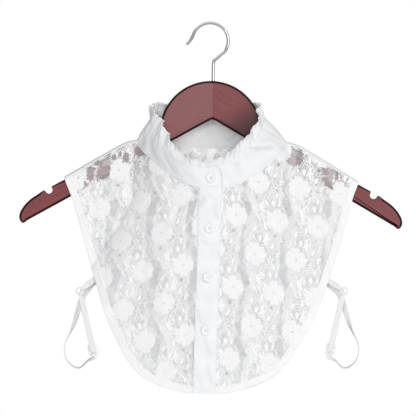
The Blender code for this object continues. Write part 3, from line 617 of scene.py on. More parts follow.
# ================================================================== materials
class Paint:
    """A Principled material and a few short ways to add nodes to it."""

    def __init__(self, name, rough=0.8, metal=0.0, specular=0.5):
        self.material = bpy.data.materials.new(name)
        self.material.use_nodes = True
        self.tree = self.material.node_tree
        self.shader = self.tree.nodes["Principled BSDF"]
        self.shader.inputs["Roughness"].default_value = rough
        self.shader.inputs["Metallic"].default_value = metal
        self.shader.inputs["Specular IOR Level"].default_value = specular

    def put(self, socket, value):
        if hasattr(value, "is_output") or hasattr(value, "links"):
            self.tree.links.new(value, socket)
        else:
            socket.default_value = value

    def node(self, kind, out=0, props=None, **inputs):
        made = self.tree.nodes.new("ShaderNode" + kind)
        for key, value in (props or {}).items():
            setattr(made, key, value)
        for key, value in inputs.items():
            key = key.replace("_", " ")
            index = int(key[2:]) if key.startswith("in") and key[2:].isdigit() else key
            self.put(made.inputs[index], value)
        return made.outputs[out]

    def maths(self, what, a, b=0.0, c=0.0):
        return self.node("Math", 0, {"operation": what}, in0=a, in1=b, in2=c)

    def uv(self):
        return self.node("UVMap", 0, {"uv_map": "cloth"})

    def place(self):
        return self.node("TexCoord", "Object")

    def moved(self, vector, scale, turn=(0.0, 0.0, 0.0)):
        return self.node("Mapping", 0, None, Vector=vector, Scale=scale, Rotation=turn)

    def noise(self, vector, scale, detail=3.0, rough=0.5):
        return self.node("TexNoise", 0, None, Vector=vector, Scale=scale, Detail=detail, Roughness=rough)

    def ramp(self, fac, *stops):
        made = self.tree.nodes.new("ShaderNodeValToRGB")
        self.put(made.inputs[0], fac)
        held = made.color_ramp.elements
        while len(held) < len(stops):
            held.new(0.5)
        for element, (at, colour) in zip(held, stops):
            element.position = at
            element.color = (*colour, 1.0)
        return made.outputs[0]

    def ranged(self, value, low, high, to_low=0.0, to_high=1.0, soft=False):
        kind = "SMOOTHSTEP" if soft else "LINEAR"
        return self.node(
            "MapRange", 0, {"interpolation_type": kind},
            in0=value, in1=low, in2=high, in3=to_low, in4=to_high,
        )

    def bump(self, height, distance, strength=1.0, normal=None):
        made = self.tree.nodes.new("ShaderNodeBump")
        made.inputs["Strength"].default_value = strength
        made.inputs["Distance"].default_value = distance
        self.tree.links.new(height, made.inputs["Height"])
        if normal is not None:
            self.tree.links.new(normal, made.inputs["Normal"])
        return made.outputs[0]

    def done(self, **sockets):
        for key, value in sockets.items():
            self.put(self.shader.inputs[key.replace("_", " ")], value)
        return self.material


def wave(p, vector, direction, period):
    """Ribs across a direction of the flat cloth, from -1 to 1."""
    dot = p.node("VectorMath", 1, {"operation": "DOT_PRODUCT"}, in0=vector, in1=(*direction, 0.0))
    return p.maths("SINE", p.maths("MULTIPLY", dot, 2 * math.pi / period))


def cloth_paint(name, light, dark, weave=0.55, rough=0.85, twill=False, deep=0.00006):
    """White cotton: a fine weave, soft unevenness of tone and of surface, and painted shade wherever the mesh's fold
    value is set.
    """
    p = Paint(name, rough, specular=0.25)
    uv = p.uv()
    warp = wave(p, uv, (1.0, 0.35) if twill else (1.0, 0.0), weave)
    weft = wave(p, uv, (0.35, -1.0) if twill else (0.0, 1.0), weave)
    cloud = p.noise(uv, 0.06, 3.0)
    fine = p.noise(uv, 1.3, 2.0)
    crossed = p.maths("MULTIPLY", warp, weft)
    # painted shade: the fold value that the mesh carries mixes the colour towards grey in creases, along seams and at
    # edges
    fold = p.node("Attribute", 2, {"attribute_name": "fold"})
    tone = p.maths("ADD", p.ranged(cloud, 0.35, 0.65, 0.25, 0.8), p.maths("MULTIPLY", crossed, 0.09))
    tone = p.maths("ADD", tone, p.ranged(fine, 0.3, 0.7, -0.12, 0.12))
    colour = p.ramp(tone, (0.0, dark), (1.0, light))
    colour = p.node("Mix", 2, {"data_type": "RGBA"}, in0=fold, in6=colour, in7=(0.40, 0.41, 0.44, 1.0))
    soft = p.bump(p.noise(uv, 0.16, 2.0), 0.0011, 0.35)
    normal = p.bump(crossed, deep, 0.5, soft)
    p.shader.inputs["Sheen Weight"].default_value = 0.12
    return p.done(Base_Color=colour, Normal=normal)


WHITE = (0.90, 0.905, 0.912)
SHADE = (0.81, 0.82, 0.835)
COTTON = cloth_paint("woven_cotton", WHITE, SHADE, 0.55)
FRILL_COTTON = cloth_paint("frill_cotton", WHITE, (0.79, 0.80, 0.82), 0.5, 0.8)
TAPE = cloth_paint("edge_tape", (0.93, 0.93, 0.93), (0.84, 0.845, 0.85), 0.7, twill=True)


def net_paint(name, spacing=1.3):
    """Knitted net: round threads about six-sided holes. How much of it is thread
    comes with the mesh; the closer it is, the lighter it is painted, as painted shade on the thin threads of open net."""
    p = Paint(name, 0.85, specular=0.2)
    uv = p.uv()
    warp = p.node("TexNoise", 1, None, Vector=uv, Scale=0.35, Detail=1.0)
    moved = p.node("VectorMath", 0, {"operation": "MULTIPLY_ADD"}, in0=warp, in1=(0.45, 0.45, 0.0), in2=uv)
    k = 2 * math.pi / spacing
    total = None
    for a in (0.0, 120.0, 240.0):
        way = (k * math.sin(math.radians(a)), k * math.cos(math.radians(a)), 0.0)
        dot = p.node("VectorMath", 1, {"operation": "DOT_PRODUCT"}, in0=moved, in1=way)
        one = p.maths("COSINE", dot)
        total = one if total is None else p.maths("ADD", total, one)
    level = p.node("Attribute", 2, {"attribute_name": "thread"})
    gap = p.maths("SUBTRACT", total, level)
    alpha = p.ranged(gap, -0.36, 0.36, 1.0, 0.0, True)
    # painted shade: open net is painted a little darker than close net
    close = p.ranged(level, -0.5, 0.6, 0.0, 0.95, True)
    cloud = p.ranged(p.noise(uv, 0.12, 3.0), 0.3, 0.7, -0.05, 0.10)
    tone = p.ramp(p.maths("ADD", close, cloud), (0.0, (0.89, 0.90, 0.91)), (1.0, (0.91, 0.91, 0.92)))
    height = p.maths("MULTIPLY", total, -1.0)
    return p.done(Base_Color=tone, Alpha=alpha, Normal=p.bump(height, 0.00012, 0.5))


NET = net_paint("net")


def motif_paint(name):
    """Solid parts of the lace: close threads that run along each petal."""
    p = Paint(name, 0.8, specular=0.25)
    uv = p.uv()
    drift = p.noise(uv, 0.5, 2.0)
    run = p.maths("ADD", p.node("SeparateXYZ", 0, None, Vector=uv), p.maths("MULTIPLY", drift, 0.7))
    ribs = p.maths("SINE", p.maths("MULTIPLY", run, 2 * math.pi / 0.62))
    tone = p.maths("ADD", p.ranged(p.noise(uv, 0.22, 3.0), 0.3, 0.7, 0.2, 0.8), p.maths("MULTIPLY", ribs, 0.12))
    # painted shade: the bright value that the mesh carries darkens petals and cords towards their edges, where they
    # fall to the net
    bright = p.node("Attribute", 2, {"attribute_name": "bright"})
    tone = p.maths("ADD", bright, p.maths("MULTIPLY", p.maths("SUBTRACT", tone, 0.5), 0.25))
    colour = p.ramp(tone, (0.0, (0.62, 0.63, 0.65)), (0.5, (0.885, 0.887, 0.893)), (1.0, (0.98, 0.98, 0.98)))
    p.shader.inputs["Sheen Weight"].default_value = 0.15
    return p.done(Base_Color=colour, Normal=p.bump(ribs, 0.00012, 0.5))


MOTIF = motif_paint("lace_motif")


def wood_paint():
    p = Paint("mahogany", 0.36, specular=0.5)
    at = p.place()
    apart = p.node("SeparateXYZ", 0, None, Vector=at)
    x = p.node("SeparateXYZ", 0, None, Vector=at)
    # grain runs along each arm
    side = p.maths("ABSOLUTE", p.maths("SUBTRACT", x, HOOK_OFFSET * MM))
    z = p.node("SeparateXYZ", 2, None, Vector=at)
    y = p.node("SeparateXYZ", 1, None, Vector=at)
    along = p.maths("SUBTRACT", p.maths("MULTIPLY", side, 0.876), p.maths("MULTIPLY", z, 0.482))
    across = p.maths("ADD", p.maths("MULTIPLY", side, 0.482), p.maths("MULTIPLY", z, 0.876))
    halves = p.maths("MULTIPLY", p.maths("GREATER_THAN", x, HOOK_OFFSET * MM), 0.37)
    spot = p.node("CombineXYZ", 0, None, in0=p.maths("MULTIPLY", along, 9.0), in1=p.maths("MULTIPLY", across, 170.0), in2=p.maths("ADD", p.maths("MULTIPLY", y, 120.0), halves))
    grain = p.noise(spot, 1.0, 5.0, 0.6)
    fine = p.noise(spot, 4.0, 3.0, 0.6)
    mixed = p.maths("ADD", p.maths("MULTIPLY", grain, 0.7), p.maths("MULTIPLY", fine, 0.3))
    tone = p.ramp(mixed, (0.30, (0.160, 0.034, 0.038)), (0.5, (0.192, 0.045, 0.049)), (0.72, (0.226, 0.056, 0.060)))
    # painted reflection: near the middle the wood is mixed towards a pale grey mauve,
    # more on the left half; painted shadow of the collar on the hump's lower right, and painted shade on the rounded
    # rims, near black
    right = p.maths("GREATER_THAN", x, HOOK_OFFSET * MM)
    pale = p.node("Mix", 2, {"data_type": "RGBA"}, in0=p.maths("MULTIPLY", p.ranged(right, 0.0, 1.0, 0.30, 0.07), p.ranged(side, 0.05, 0.11, 1.0, 0.1, True)), in6=tone, in7=(0.36, 0.20, 0.21, 1.0))
    # painted shadow of the collar on the hump's lower right
    low = p.maths("ADD", p.maths("MULTIPLY", x, 0.6), p.maths("MULTIPLY", p.maths("ADD", z, 0.088), -0.8))
    near = p.maths("MULTIPLY", p.ranged(low, 0.018, 0.052, 0.0, 0.85, True), p.ranged(x, 0.075, 0.09, 1.0, 0.0, True))
    near = p.maths("MULTIPLY", near, p.maths("GREATER_THAN", x, 0.0))
    with_painted_shadow = p.node("Mix", 2, {"data_type": "RGBA"}, in0=near, in6=pale, in7=(0.04, 0.012, 0.014, 1.0))
    # painted shade: the rounded rims mixed to near black
    inset = p.node("Attribute", 2, {"attribute_name": "inset"})
    rim = p.ranged(inset, 1.9, 3.25, 0.97, 0.0, True)
    edge = p.node("Mix", 2, {"data_type": "RGBA"}, in0=rim, in6=with_painted_shadow, in7=(0.014, 0.0015, 0.002, 1.0))
    rough = p.ranged(grain, 0.3, 0.7, 0.30, 0.42)
    gloss = p.ranged(rim, 0.0, 1.0, 0.5, 0.12)
    return p.done(Base_Color=edge, Roughness=rough, Specular_IOR_Level=gloss, Normal=p.bump(grain, 0.0002, 0.12))


WOOD = wood_paint()


def chrome_paint():
    p = Paint("chrome", 0.1, 1.0)
    at = p.place()
    tone = p.ramp(p.noise(at, 60.0, 3.0), (0.3, (0.62, 0.62, 0.63)), (0.7, (0.76, 0.76, 0.77)))
    return p.done(Base_Color=tone, Roughness=p.ranged(p.noise(at, 140.0, 2.0), 0.3, 0.7, 0.07, 0.16))


CHROME = chrome_paint()


def resin_paint():
    p = Paint("button_resin", 0.22, specular=0.5)
    at = p.place()
    tone = p.ramp(p.noise(at, 90.0, 3.0), (0.3, (0.84, 0.85, 0.86)), (0.7, (0.93, 0.93, 0.93)))
    return p.done(Base_Color=tone, Roughness=p.ranged(p.noise(at, 160.0, 2.0), 0.3, 0.7, 0.18, 0.3))


RESIN = resin_paint()


def elastic_paint():
    """Ribbed elastic: cords along the band, and the weft that binds them."""
    p = Paint("elastic", 0.7, specular=0.3)
    uv = p.uv()
    cords = wave(p, uv, (0.0, 1.0), 1.03)
    weft = wave(p, uv, (1.0, 0.0), 0.8)
    height = p.maths("ADD", p.maths("MULTIPLY", cords, 0.7), p.maths("MULTIPLY", weft, 0.3))
    # painted shade: the colour follows the ribs' height, darker in the grooves
    tone = p.maths("ADD", p.ranged(height, -1.0, 1.0, 0.1, 0.8), p.ranged(p.noise(uv, 0.2, 2.0), 0.3, 0.7, -0.1, 0.15))
    colour = p.ramp(tone, (0.0, (0.76, 0.765, 0.78)), (1.0, (0.90, 0.90, 0.905)))
    return p.done(Base_Color=colour, Normal=p.bump(height, 0.00016, 0.6))


ELASTIC = elastic_paint()


def coated_paint():
    p = Paint("coated_fitting", 0.28, specular=0.5)
    at = p.place()
    tone = p.ramp(p.noise(at, 120.0, 3.0), (0.3, (0.80, 0.80, 0.81)), (0.7, (0.90, 0.90, 0.90)))
    return p.done(Base_Color=tone, Roughness=p.ranged(p.noise(at, 200.0, 2.0), 0.3, 0.7, 0.2, 0.36))


FITTING = coated_paint()


def thread_paint():
    p = Paint("thread", 0.75, specular=0.3)
    at = p.place()
    tone = p.ramp(p.noise(at, 700.0, 2.0), (0.3, (0.74, 0.745, 0.76)), (0.7, (0.88, 0.88, 0.885)))
    return p.done(Base_Color=tone)


THREAD = thread_paint()


# ============================================================== fronts and back
def aside_of(gx, gz):
    return spline(SWAY, -gz) * smooth((np.abs(gx) - 40.0) / 60.0)


def on_cloth(side, x, z, lift):
    """Points over the cloth at x, z as they show, lifted along its outward normal."""
    gx = x - aside_of(x, z)
    gx = x - aside_of(gx, z)
    step = 0.7
    y = cloth_y(side, gx, z)
    fx = (cloth_y(side, gx + step, z) - cloth_y(side, gx - step, z)) / (2 * step)
    fz = (cloth_y(side, gx, z + step) - cloth_y(side, gx, z - step)) / (2 * step)
    fx, fz = np.clip(fx, -2.5, 2.5), np.clip(fz, -2.5, 2.5)
    n = np.stack([fx, -np.ones_like(fx), fz], -1)
    if side == "back":
        n = -n
    n /= np.linalg.norm(n, axis=-1, keepdims=True)
    return np.stack([x, y, z], -1) + n * np.asarray(lift)[..., None]


def neck_line(side):
    turn = np.linspace(0.0, 90.0, 400) if side == "front" else np.linspace(180.0, 90.0, 400)
    p = ring_xyz(turn, 0.0)
    return p[:, 0], p[:, 2]


NECK_LINES = {side: neck_line(side) for side in ("front", "back")}
px, pz, ix, iz = along_outline(500, 1.0)
EDGE_Z, EDGE_X = pz + 6.3 * iz, px + 6.3 * ix
keep_rows = np.argsort(EDGE_Z)
EDGE_Z, EDGE_X = EDGE_Z[keep_rows], EDGE_X[keep_rows]


def inside_panel(side, x, z):
    gx = np.abs(x - aside_of(x, z))
    xs, zs = NECK_LINES[side]
    ok = z < np.interp(gx, xs, zs, right=1e3) - 0.7
    ok &= z < shoulder_z(np.clip(gx, 60.0, None)) - 1.2
    ok &= (gx < np.interp(z, EDGE_Z, EDGE_X)) & (z > EDGE_Z[0])
    if side == "front":
        ok &= np.abs(x - placket_middle(z)) > PLACKET_HALF - 2.5
    return ok


# One repeat of the lace, charted: two half-drop columns, each with a
# six-petalled flower under a corded leaf and a run of small flowers below it.
# Each side hangs from its own shoulder, so its repeat has its own two steps.
REPEATS = {
    # side: (a flower's x and z, step along, step up)
    "right": ((29.2, -220.4), (47.4, -6.2), (2.8, 83.0)),
    "left": ((-35.0, -198.2), (46.8, 8.9), (-3.7, 80.5)),
    "back": ((-13.0, -214.0), (47.2, 0.6), (0.4, 82.0)),
}
PERIOD_ACROSS, PERIOD_UP = 47.8, 83.2

PETALS = [
    # turn  middle  radius
    (94.0, 9.6, 5.5),
    (33.0, 8.0, 5.6),
    (-26.0, 8.7, 5.2),
    (-85.0, 9.8, 5.4),
    (-146.0, 8.1, 5.7),
    (154.0, 8.6, 5.2),
]
SMALL_FLOWERS = [
    # along   up     size  petals
    (8.6, -24.0, 5.0, 5),
    (4.0, -39.5, 5.4, 6),
    (-6.0, -46.5, 5.0, 5),
    (-14.0, -27.5, 4.4, 5),
]
EYELETS = [
    # along   up    radius
    (-2.0, -17.8, 2.5),
    (-4.8, -34.0, 2.6),
    (-17.6, 17.0, 1.6),
    (11.6, 15.6, 1.5),
]
LEAFLETS = [
    # along  up    turn   length width
    (-8.5, -22.0, 205.0, 9.0, 4.2),
    (2.4, -23.6, -70.0, 9.4, 4.2),
    (-3.0, -27.0, 250.0, 8.5, 3.8),
    (11.5, -31.0, -60.0, 8.0, 3.6),
    (-10.5, -38.5, 240.0, 8.0, 3.6),
    (-1.0, -51.0, -100.0, 7.0, 3.4),
    (10.2, 20.0, 60.0, 7.4, 3.4),
    (-15.5, 7.0, 115.0, 6.6, 3.0),
    (10.2, -45.0, -85.0, 8.6, 3.4),
]


class Chart:
    """Lace parts in flat millimetres: along, up, and height over the net."""

    def __init__(self):
        self.points, self.faces, self.uv, self.count = [], [], [], 0

    def patch(self, along, up, high, uv, bright):
        rows, cols = along.shape
        bright = np.broadcast_to(bright, along.shape)
        self.points.append(np.stack([along, up, high, bright], -1).reshape(-1, 4))
        self.faces.append(quads(rows, cols, self.count))
        self.uv.append(uv.reshape(-1, 2))
        self.count += rows * cols

    def petal(self, x, y, turn, near, far, width, rows=9, cols=7, rise=0.55, notch=0.0, belly=0.72):
        """A domed lobe, from its root out to its rounded tip."""
        s = np.linspace(0.0, 1.0, rows)[:, None]
        t = np.linspace(-1.0, 1.0, cols)[None, :]
        half = 0.5 * width * np.sin(np.pi * np.clip(0.06 + 0.93 * s, 0, 1) ** (1 / belly)) ** 0.62
        half = np.maximum(half, 0.12 * width * (1 - s))
        out = near + (far - near) * (s - 0.10 * s**3 * t**2 - notch * s**4 * (1 - np.abs(t)) ** 2)
        side = half * t
        high = 0.10 + 0.75 * rise * np.sqrt(np.clip(1 - t**2, 0, 1)) * np.clip(np.sin(np.pi * (0.08 + 0.88 * s)), 0, 1) ** 0.5
        a = math.radians(turn)
        along = x + out * math.cos(a) - side * math.sin(a)
        up = y + out * math.sin(a) + side * math.cos(a)
        # painted shade: the petal darker towards its sides
        self.patch(along, up, high, np.stack(np.broadcast_arrays(side, out), -1), 1.0 - 0.85 * np.abs(t) ** 4)

    def lobe(self, turn, middle, radius, near=1.5, rows=10, cols=9, rise=0.26):
        """A petal of a large flower: a round end on a tapering neck."""
        out = near + (middle + radius - near) * np.linspace(0.0, 1.0, rows) ** 0.9
        neck = 1.3 + (radius - 1.3) * np.clip((out - near) / (middle - near), 0, 1) ** 0.6
        round_end = np.sqrt(np.clip(radius**2 - np.clip(out - middle, 0, None) ** 2, 0.02, None))
        half = np.where(out < middle, neck, round_end)[:, None]
        t = np.linspace(-1.0, 1.0, cols)[None, :]
        side = half * t
        s = np.linspace(0.0, 1.0, rows)[:, None]
        notches = 1.0 + 0.055 * np.sin(9.0 * np.pi * s + turn) * np.abs(t) ** 3
        side = side * notches
        high = 0.16 + rise * np.clip(1 - t**2, 0, 1) ** 0.5 * np.clip(np.sin(np.pi * (0.12 + 0.82 * s)), 0, 1) ** 0.3
        a = math.radians(turn)
        out = out[:, None] + 0.5 * np.cos(4.4 * t + turn) * s**4
        along = out * math.cos(a) - side * math.sin(a)
        up = out * math.sin(a) + side * math.cos(a)
        # painted shade: the petal darker at its rim, with a lighter band just inside it
        rim = np.maximum(np.abs(t) ** 6, s**9)
        self.patch(along, up, high, np.stack([side, out], -1), 0.56 - 0.42 * rim + 0.25 * np.exp(-(((np.abs(t) - 0.75) / 0.12) ** 2)))

    def cord(self, path, width, high, low=0.05):
        """A laid cord along a path of flat points."""
        p = np.asarray(path, float)
        run = np.gradient(p, axis=0)
        run /= np.maximum(np.linalg.norm(run, axis=1, keepdims=True), 1e-9)
        side = np.stack([-run[:, 1], run[:, 0]], -1)
        cross = np.array([-0.5, -0.2, 0.2, 0.5]) * width
        lift = np.array([low, 0.85 * high, 0.85 * high, low])
        at = p[:, None] + side[:, None] * cross[None, :, None]
        step = np.r_[0.0, np.cumsum(np.linalg.norm(np.diff(p, axis=0), axis=1))]
        uv = np.stack(np.broadcast_arrays(step[:, None], cross[None, :]), -1)
        # the other way round, so that it faces outwards
        # painted shade: the cord darker along its two sides
        self.patch(at[::-1, :, 0], at[::-1, :, 1], np.broadcast_to(lift, at.shape[:2]), uv[::-1], np.array([0.1, 1.0, 1.0, 0.1]))

    def ring(self, x, y, radius, width, high, steps=20):
        a = np.linspace(0.0, 2 * np.pi, steps + 1)
        self.cord(np.stack([x + radius * np.cos(a), y + radius * np.sin(a)], -1), width, high)

    def mesh(self):
        return np.concatenate(self.points), np.concatenate(self.faces), np.concatenate(self.uv)


def bow(points, count):
    """A smooth run through a few flat points."""
    p = np.asarray(points, float)
    t = np.r_[0.0, np.cumsum(np.linalg.norm(np.diff(p, axis=0), axis=1))]
    at = np.linspace(0.0, t[-1], count)
    return np.stack([spline(np.c_[t, p[:, k]], at) for k in range(2)], -1)


def leaf(chart, x, y, wide, tall, lean):
    """A fan-shaped leaf: a cord round its top, ribs and a ladder of open cells."""
    ca, sa = math.cos(math.radians(lean)), math.sin(math.radians(lean))

    def at(u, v):
        return x + u * ca - v * sa, y + u * sa + v * ca

    arch = [(-0.5, -0.52), (-0.53, -0.1), (-0.42, 0.26), (-0.2, 0.46), (0.04, 0.52), (0.28, 0.42), (0.46, 0.16), (0.53, -0.2), (0.5, -0.5)]
    arch = np.array([at(u * wide, v * tall) for u, v in arch])
    line = bow(arch, 28)
    chart.cord(line, 1.35, 0.55)
    inner = np.array([at(u * 0.74 * wide, (v - 0.04) * 0.72 * tall) for u, v in [(-0.5, -0.5), (-0.5, 0.0), (-0.24, 0.42), (0.1, 0.48), (0.42, 0.2), (0.5, -0.4)]])
    chart.cord(bow(inner, 20), 0.8, 0.45)
    # slanted bars both ways, cut where they meet the arch
    for way, lean_by in ((1.0, 0.9), (-1.0, 0.9)):
        for k in range(-5, 6):
            v = np.linspace(-0.5, 0.5, 15) * tall
            u = k * 0.125 * wide + way * lean_by * v * 0.62
            roof = 0.5 * tall * np.sqrt(np.clip(1 - (u / (0.52 * wide)) ** 2, 0, 1)) ** 0.9
            ok = (v < roof - 0.4) & (v > -0.44 * tall + 0.2 * np.abs(u)) & (np.abs(u) < 0.48 * wide)
            if ok.sum() < 4:
                continue
            first, last = np.flatnonzero(ok)[[0, -1]]
            run = np.array([at(a, b) for a, b in zip(u[first : last + 1], v[first : last + 1])])
            chart.cord(bow(run, 5), 0.62, 0.34)
    # closed centre, with three ribs
    chart.petal(*at(0.02 * wide, -0.62 * tall), 90 + lean, 0.0, 0.55 * tall, 0.26 * wide, 6, 5, 0.5)
    for u, turn in ((-0.26, 118.0), (0.28, 62.0)):
        chart.petal(*at(u * wide, -0.56 * tall), turn + lean, 0.0, 0.42 * tall, 0.15 * wide, 5, 5, 0.4)


def ladder(chart, points, wide, bars, slant=2.4):
    """A strip of slanted slits between two cords."""
    mid = bow(points, bars + 1)
    run = np.gradient(mid, axis=0)
    run /= np.linalg.norm(run, axis=1, keepdims=True)
    side = np.stack([-run[:, 1], run[:, 0]], -1)
    taper = np.sin(np.pi * np.linspace(0.12, 0.9, bars + 1))[:, None] ** 0.6
    left, right = mid + side * wide / 2 * taper, mid - side * wide / 2 * taper
    chart.cord(bow(left, 16), 0.85, 0.5)
    chart.cord(bow(right, 16), 0.85, 0.5)
    for a, b, r in zip(left[:-1], right[1:], run):
        chart.cord(bow([a + r * 0.2, (a + b) / 2 + r * 0.3, b + r * slant * 0.3], 4), 1.15, 0.4)


def spray(leaf_along):
    c = Chart()
    for turn, middle, radius in PETALS:
        c.lobe(turn, middle, radius)
    c.ring(0.0, 0.0, 1.7, 0.8, 0.6)
    for turn in range(0, 360, 60):
        a = math.radians(turn + 3)
        c.cord([(2.1 * math.cos(a), 2.1 * math.sin(a)), (3.4 * math.cos(a), 3.4 * math.sin(a)), (4.4 * math.cos(a + 0.05), 4.4 * math.sin(a + 0.05))], 0.45, 0.5)
    leaf(c, leaf_along, 24.6, 21.5, 14.5, 5.0 if leaf_along < 0 else -5.0)
    ladder(c, [(leaf_along - 10.5, 19.5), (leaf_along - 12.2 * 1.0, 12.0), (-14.6, 4.0), (-14.2, -4.5)], 4.2, 9)
    ladder(c, [(leaf_along + 9.6, 19.0), (13.2, 14.0), (14.4, 8.6)], 3.4, 5)
    for x, y, size, petals in SMALL_FLOWERS:
        for k in range(petals):
            c.petal(x, y, 90 + 360 * k / petals, 0.24 * size, size, 0.56 * size, 5, 4, 0.5)
        c.ring(x, y, 0.26 * size, 0.5, 0.55, 10)
    for x, y, r in EYELETS:
        c.ring(x, y, r + 0.35, 0.95, 0.5, 16)
    for x, y, turn, length, width in LEAFLETS:
        c.petal(x, y, turn, 0.0, length, width, 7, 5, 0.45, 0.0, 0.9)
    c.cord(bow([(1.0, -15.5), (6.0, -20.0), (8.0, -30.0), (4.5, -38.0)], 14), 0.7, 0.4)
    c.cord(bow([(-3.0, -21.0), (-8.6, -28.0), (-8.0, -38.0), (-6.0, -46.0)], 14), 0.7, 0.4)
    c.cord(bow([(4.0, -44.0), (2.0, -50.0), (leaf_along * -0.5, -55.0)], 8), 0.7, 0.4)
    c.cord(bow([(-14.2, -4.0), (-15.5, -14.0), (-14.0, -26.0)], 12), 0.9, 0.42)
    c.cord(bow([(12.8, -7.0), (13.6, -14.0), (10.0, -22.0)], 10), 0.8, 0.4)
    return c.mesh()


def channel_at(v):
    turn = 2 * np.pi * v / PERIOD_UP
    return 12.0 + 3.6 * np.cos(turn) + 0.9 * np.sin(3 * turn + 0.7)


def channel_half(v, side):
    turn = 2 * np.pi * v / PERIOD_UP
    wide = 5.7 + 1.5 * np.sin(2 * turn + 1.6 * side) + 0.9 * np.sin(5 * turn + 0.9 * side + 0.4)
    return wide + 0.7 * np.sin(11 * turn + 2.0 * side)


def edging():
    """Small loops and single buds along both sides of a channel."""
    c = Chart()
    for side in (-1.0, 1.0):
        for k in range(30):
            v = PERIOD_UP * (k + 0.25 * side) / 30 - PERIOD_UP / 2
            u = channel_at(v) + side * (channel_half(v, side) + 0.5)
            if k % 5 == 2:
                for turn in range(0, 360, 72):
                    c.petal(u, v, turn + 20 * k, 0.5, 2.5, 1.7, 4, 4, 0.4)
            else:
                c.ring(u, v, 1.25 + 0.3 * math.sin(2.1 * k + side), 0.8, 0.42, 10)
    return c.mesh()


FLOWER_POINTS = 6 * 10 * 9 + 21 * 4 + 6 * 3 * 4
SPRAYS = [((0.0, 0.0), spray(-6.0)), ((23.9, 41.6), spray(5.0))]


EDGING = edging()


def repeat_frame(which):
    start, along, up = (np.array(v, float) for v in REPEATS[which])
    return start, along / PERIOD_ACROSS, up / PERIOD_UP


def charted(which, x, z):
    """Place in the repeat, in flat millimetres, of points of the cloth."""
    start, e1, e2 = repeat_frame(which)
    turn = np.linalg.inv(np.stack([e1, e2], 1))
    d = np.stack([x - start[0], z - start[1]], -1) @ turn.T
    return d[..., 0], d[..., 1]


# Open stretches of the net that show the hanger's arms, and small ones between
# the flowers beside them.
WINDOWS = [
    # x       z      half across, half up, lean
    (-140.0, -175.0, 4.0, 8.0, 0.15),
    (-125.0, -173.6, 7.2, 8.2, 0.45),
    (-131.0, -163.0, 5.0, 3.2, 0.3),
    (-120.3, -155.6, 1.6, 1.4, 0.0),
    (-113.0, -156.0, 2.4, 2.8, 0.3),
    (-99.4, -156.4, 3.4, 5.4, 0.2),
    (-106.5, -152.5, 1.6, 2.6, 0.4),
    (-84.0, -149.0, 5.2, 5.4, 0.1),
    (-75.5, -148.5, 1.8, 3.6, 0.0),
    (-145.3, -187.3, 1.9, 2.6, 0.0),
    (101.5, -152.6, 4.2, 9.2, 0.25),
    (131.4, -168.3, 3.9, 4.2, 0.0),
    (131.6, -177.5, 4.4, 2.9, 0.2),
    (136.4, -185.0, 3.8, 5.0, -0.2),
    (144.9, -173.2, 1.8, 4.8, 0.1),
]


def in_window(x, z):
    found = np.zeros(np.shape(x), bool)
    for x0, z0, half, tall, lean in WINDOWS:
        dx, dz = x - x0, z - z0
        a, b = (dx - lean * dz) / half, dz / tall
        ragged = 1.0 + 0.14 * np.sin(1.7 * x + 2.1) * np.sin(1.3 * z)
        found |= np.maximum(np.abs(a), np.abs(b)) + 0.16 * np.abs(a * b) + 0.12 * a * np.sign(b) < ragged
    return found


def in_channel(which, x, z):
    """Where the winding channels of open net run between the sprays."""
    u, v = charted(which, x, z)
    off = (u - channel_at(v) + PERIOD_ACROSS / 2) % PERIOD_ACROSS - PERIOD_ACROSS / 2
    return np.abs(off) < channel_half(v, np.sign(off)) - 0.4


def thread_level(which, x, z):
    """How much of the net is thread: thin in the winding channels, closer about
    the sprays, none in the eyelets."""
    u, v = charted(which, x, z)
    off = (u - channel_at(v) + PERIOD_ACROSS / 2) % PERIOD_ACROSS - PERIOD_ACROSS / 2
    half = channel_half(v, np.sign(off))
    open_net = 1.0 - smooth((np.abs(off) - half) / 0.8)
    cells = smooth((np.sin(u * 1.95 + 1.1 * np.sin(v * 0.31)) * np.sin(v * 1.65 + 1.0 * np.sin(u * 0.27)) - 0.12) / 0.4)
    level = 0.85 - 1.3 * cells
    level = np.where(open_net > 0, lerp(level, -0.36, open_net), level)

    def away(x0, y0):
        du = (u - ou - x0 + PERIOD_ACROSS / 2) % PERIOD_ACROSS - PERIOD_ACROSS / 2
        dv = (v - ov - y0 + PERIOD_UP / 2) % PERIOD_UP - PERIOD_UP / 2
        return du, dv

    for (ou, ov), _ in SPRAYS:
        leaf_along = -6.0 if ou == 0.0 else 5.0
        du, dv = away(leaf_along, 25.0)
        level = np.where((du / 9.6) ** 2 + (dv / 6.6) ** 2 < 1.0, -0.62, level)
        for points in (
            [(leaf_along - 10.5, 19.5), (leaf_along - 12.2, 12.0), (-14.6, 4.0), (-14.2, -4.5)],
            [(leaf_along + 9.6, 19.0), (13.2, 14.0), (14.4, 8.6)],
        ):
            for x0, y0 in bow(points, 12):
                du, dv = away(x0, y0)
                level = np.where(np.hypot(du, dv) < 1.9, -0.62, level)
        for x0, y0, size, _ in SMALL_FLOWERS:
            du, dv = away(x0, y0)
            far = np.hypot(du, dv)
            level = np.where((far > 0.62 * size) & (far < 1.12 * size), -0.45, level)
            level = np.where(far < 0.22 * size, -0.6, level)
        for x0, y0, r in EYELETS:
            du, dv = away(x0, y0)
            level = np.where(np.hypot(du, dv) < r, -0.82, level)
    if which != "back":
        level = np.where(in_window(x, z), -0.84, level)
    return level


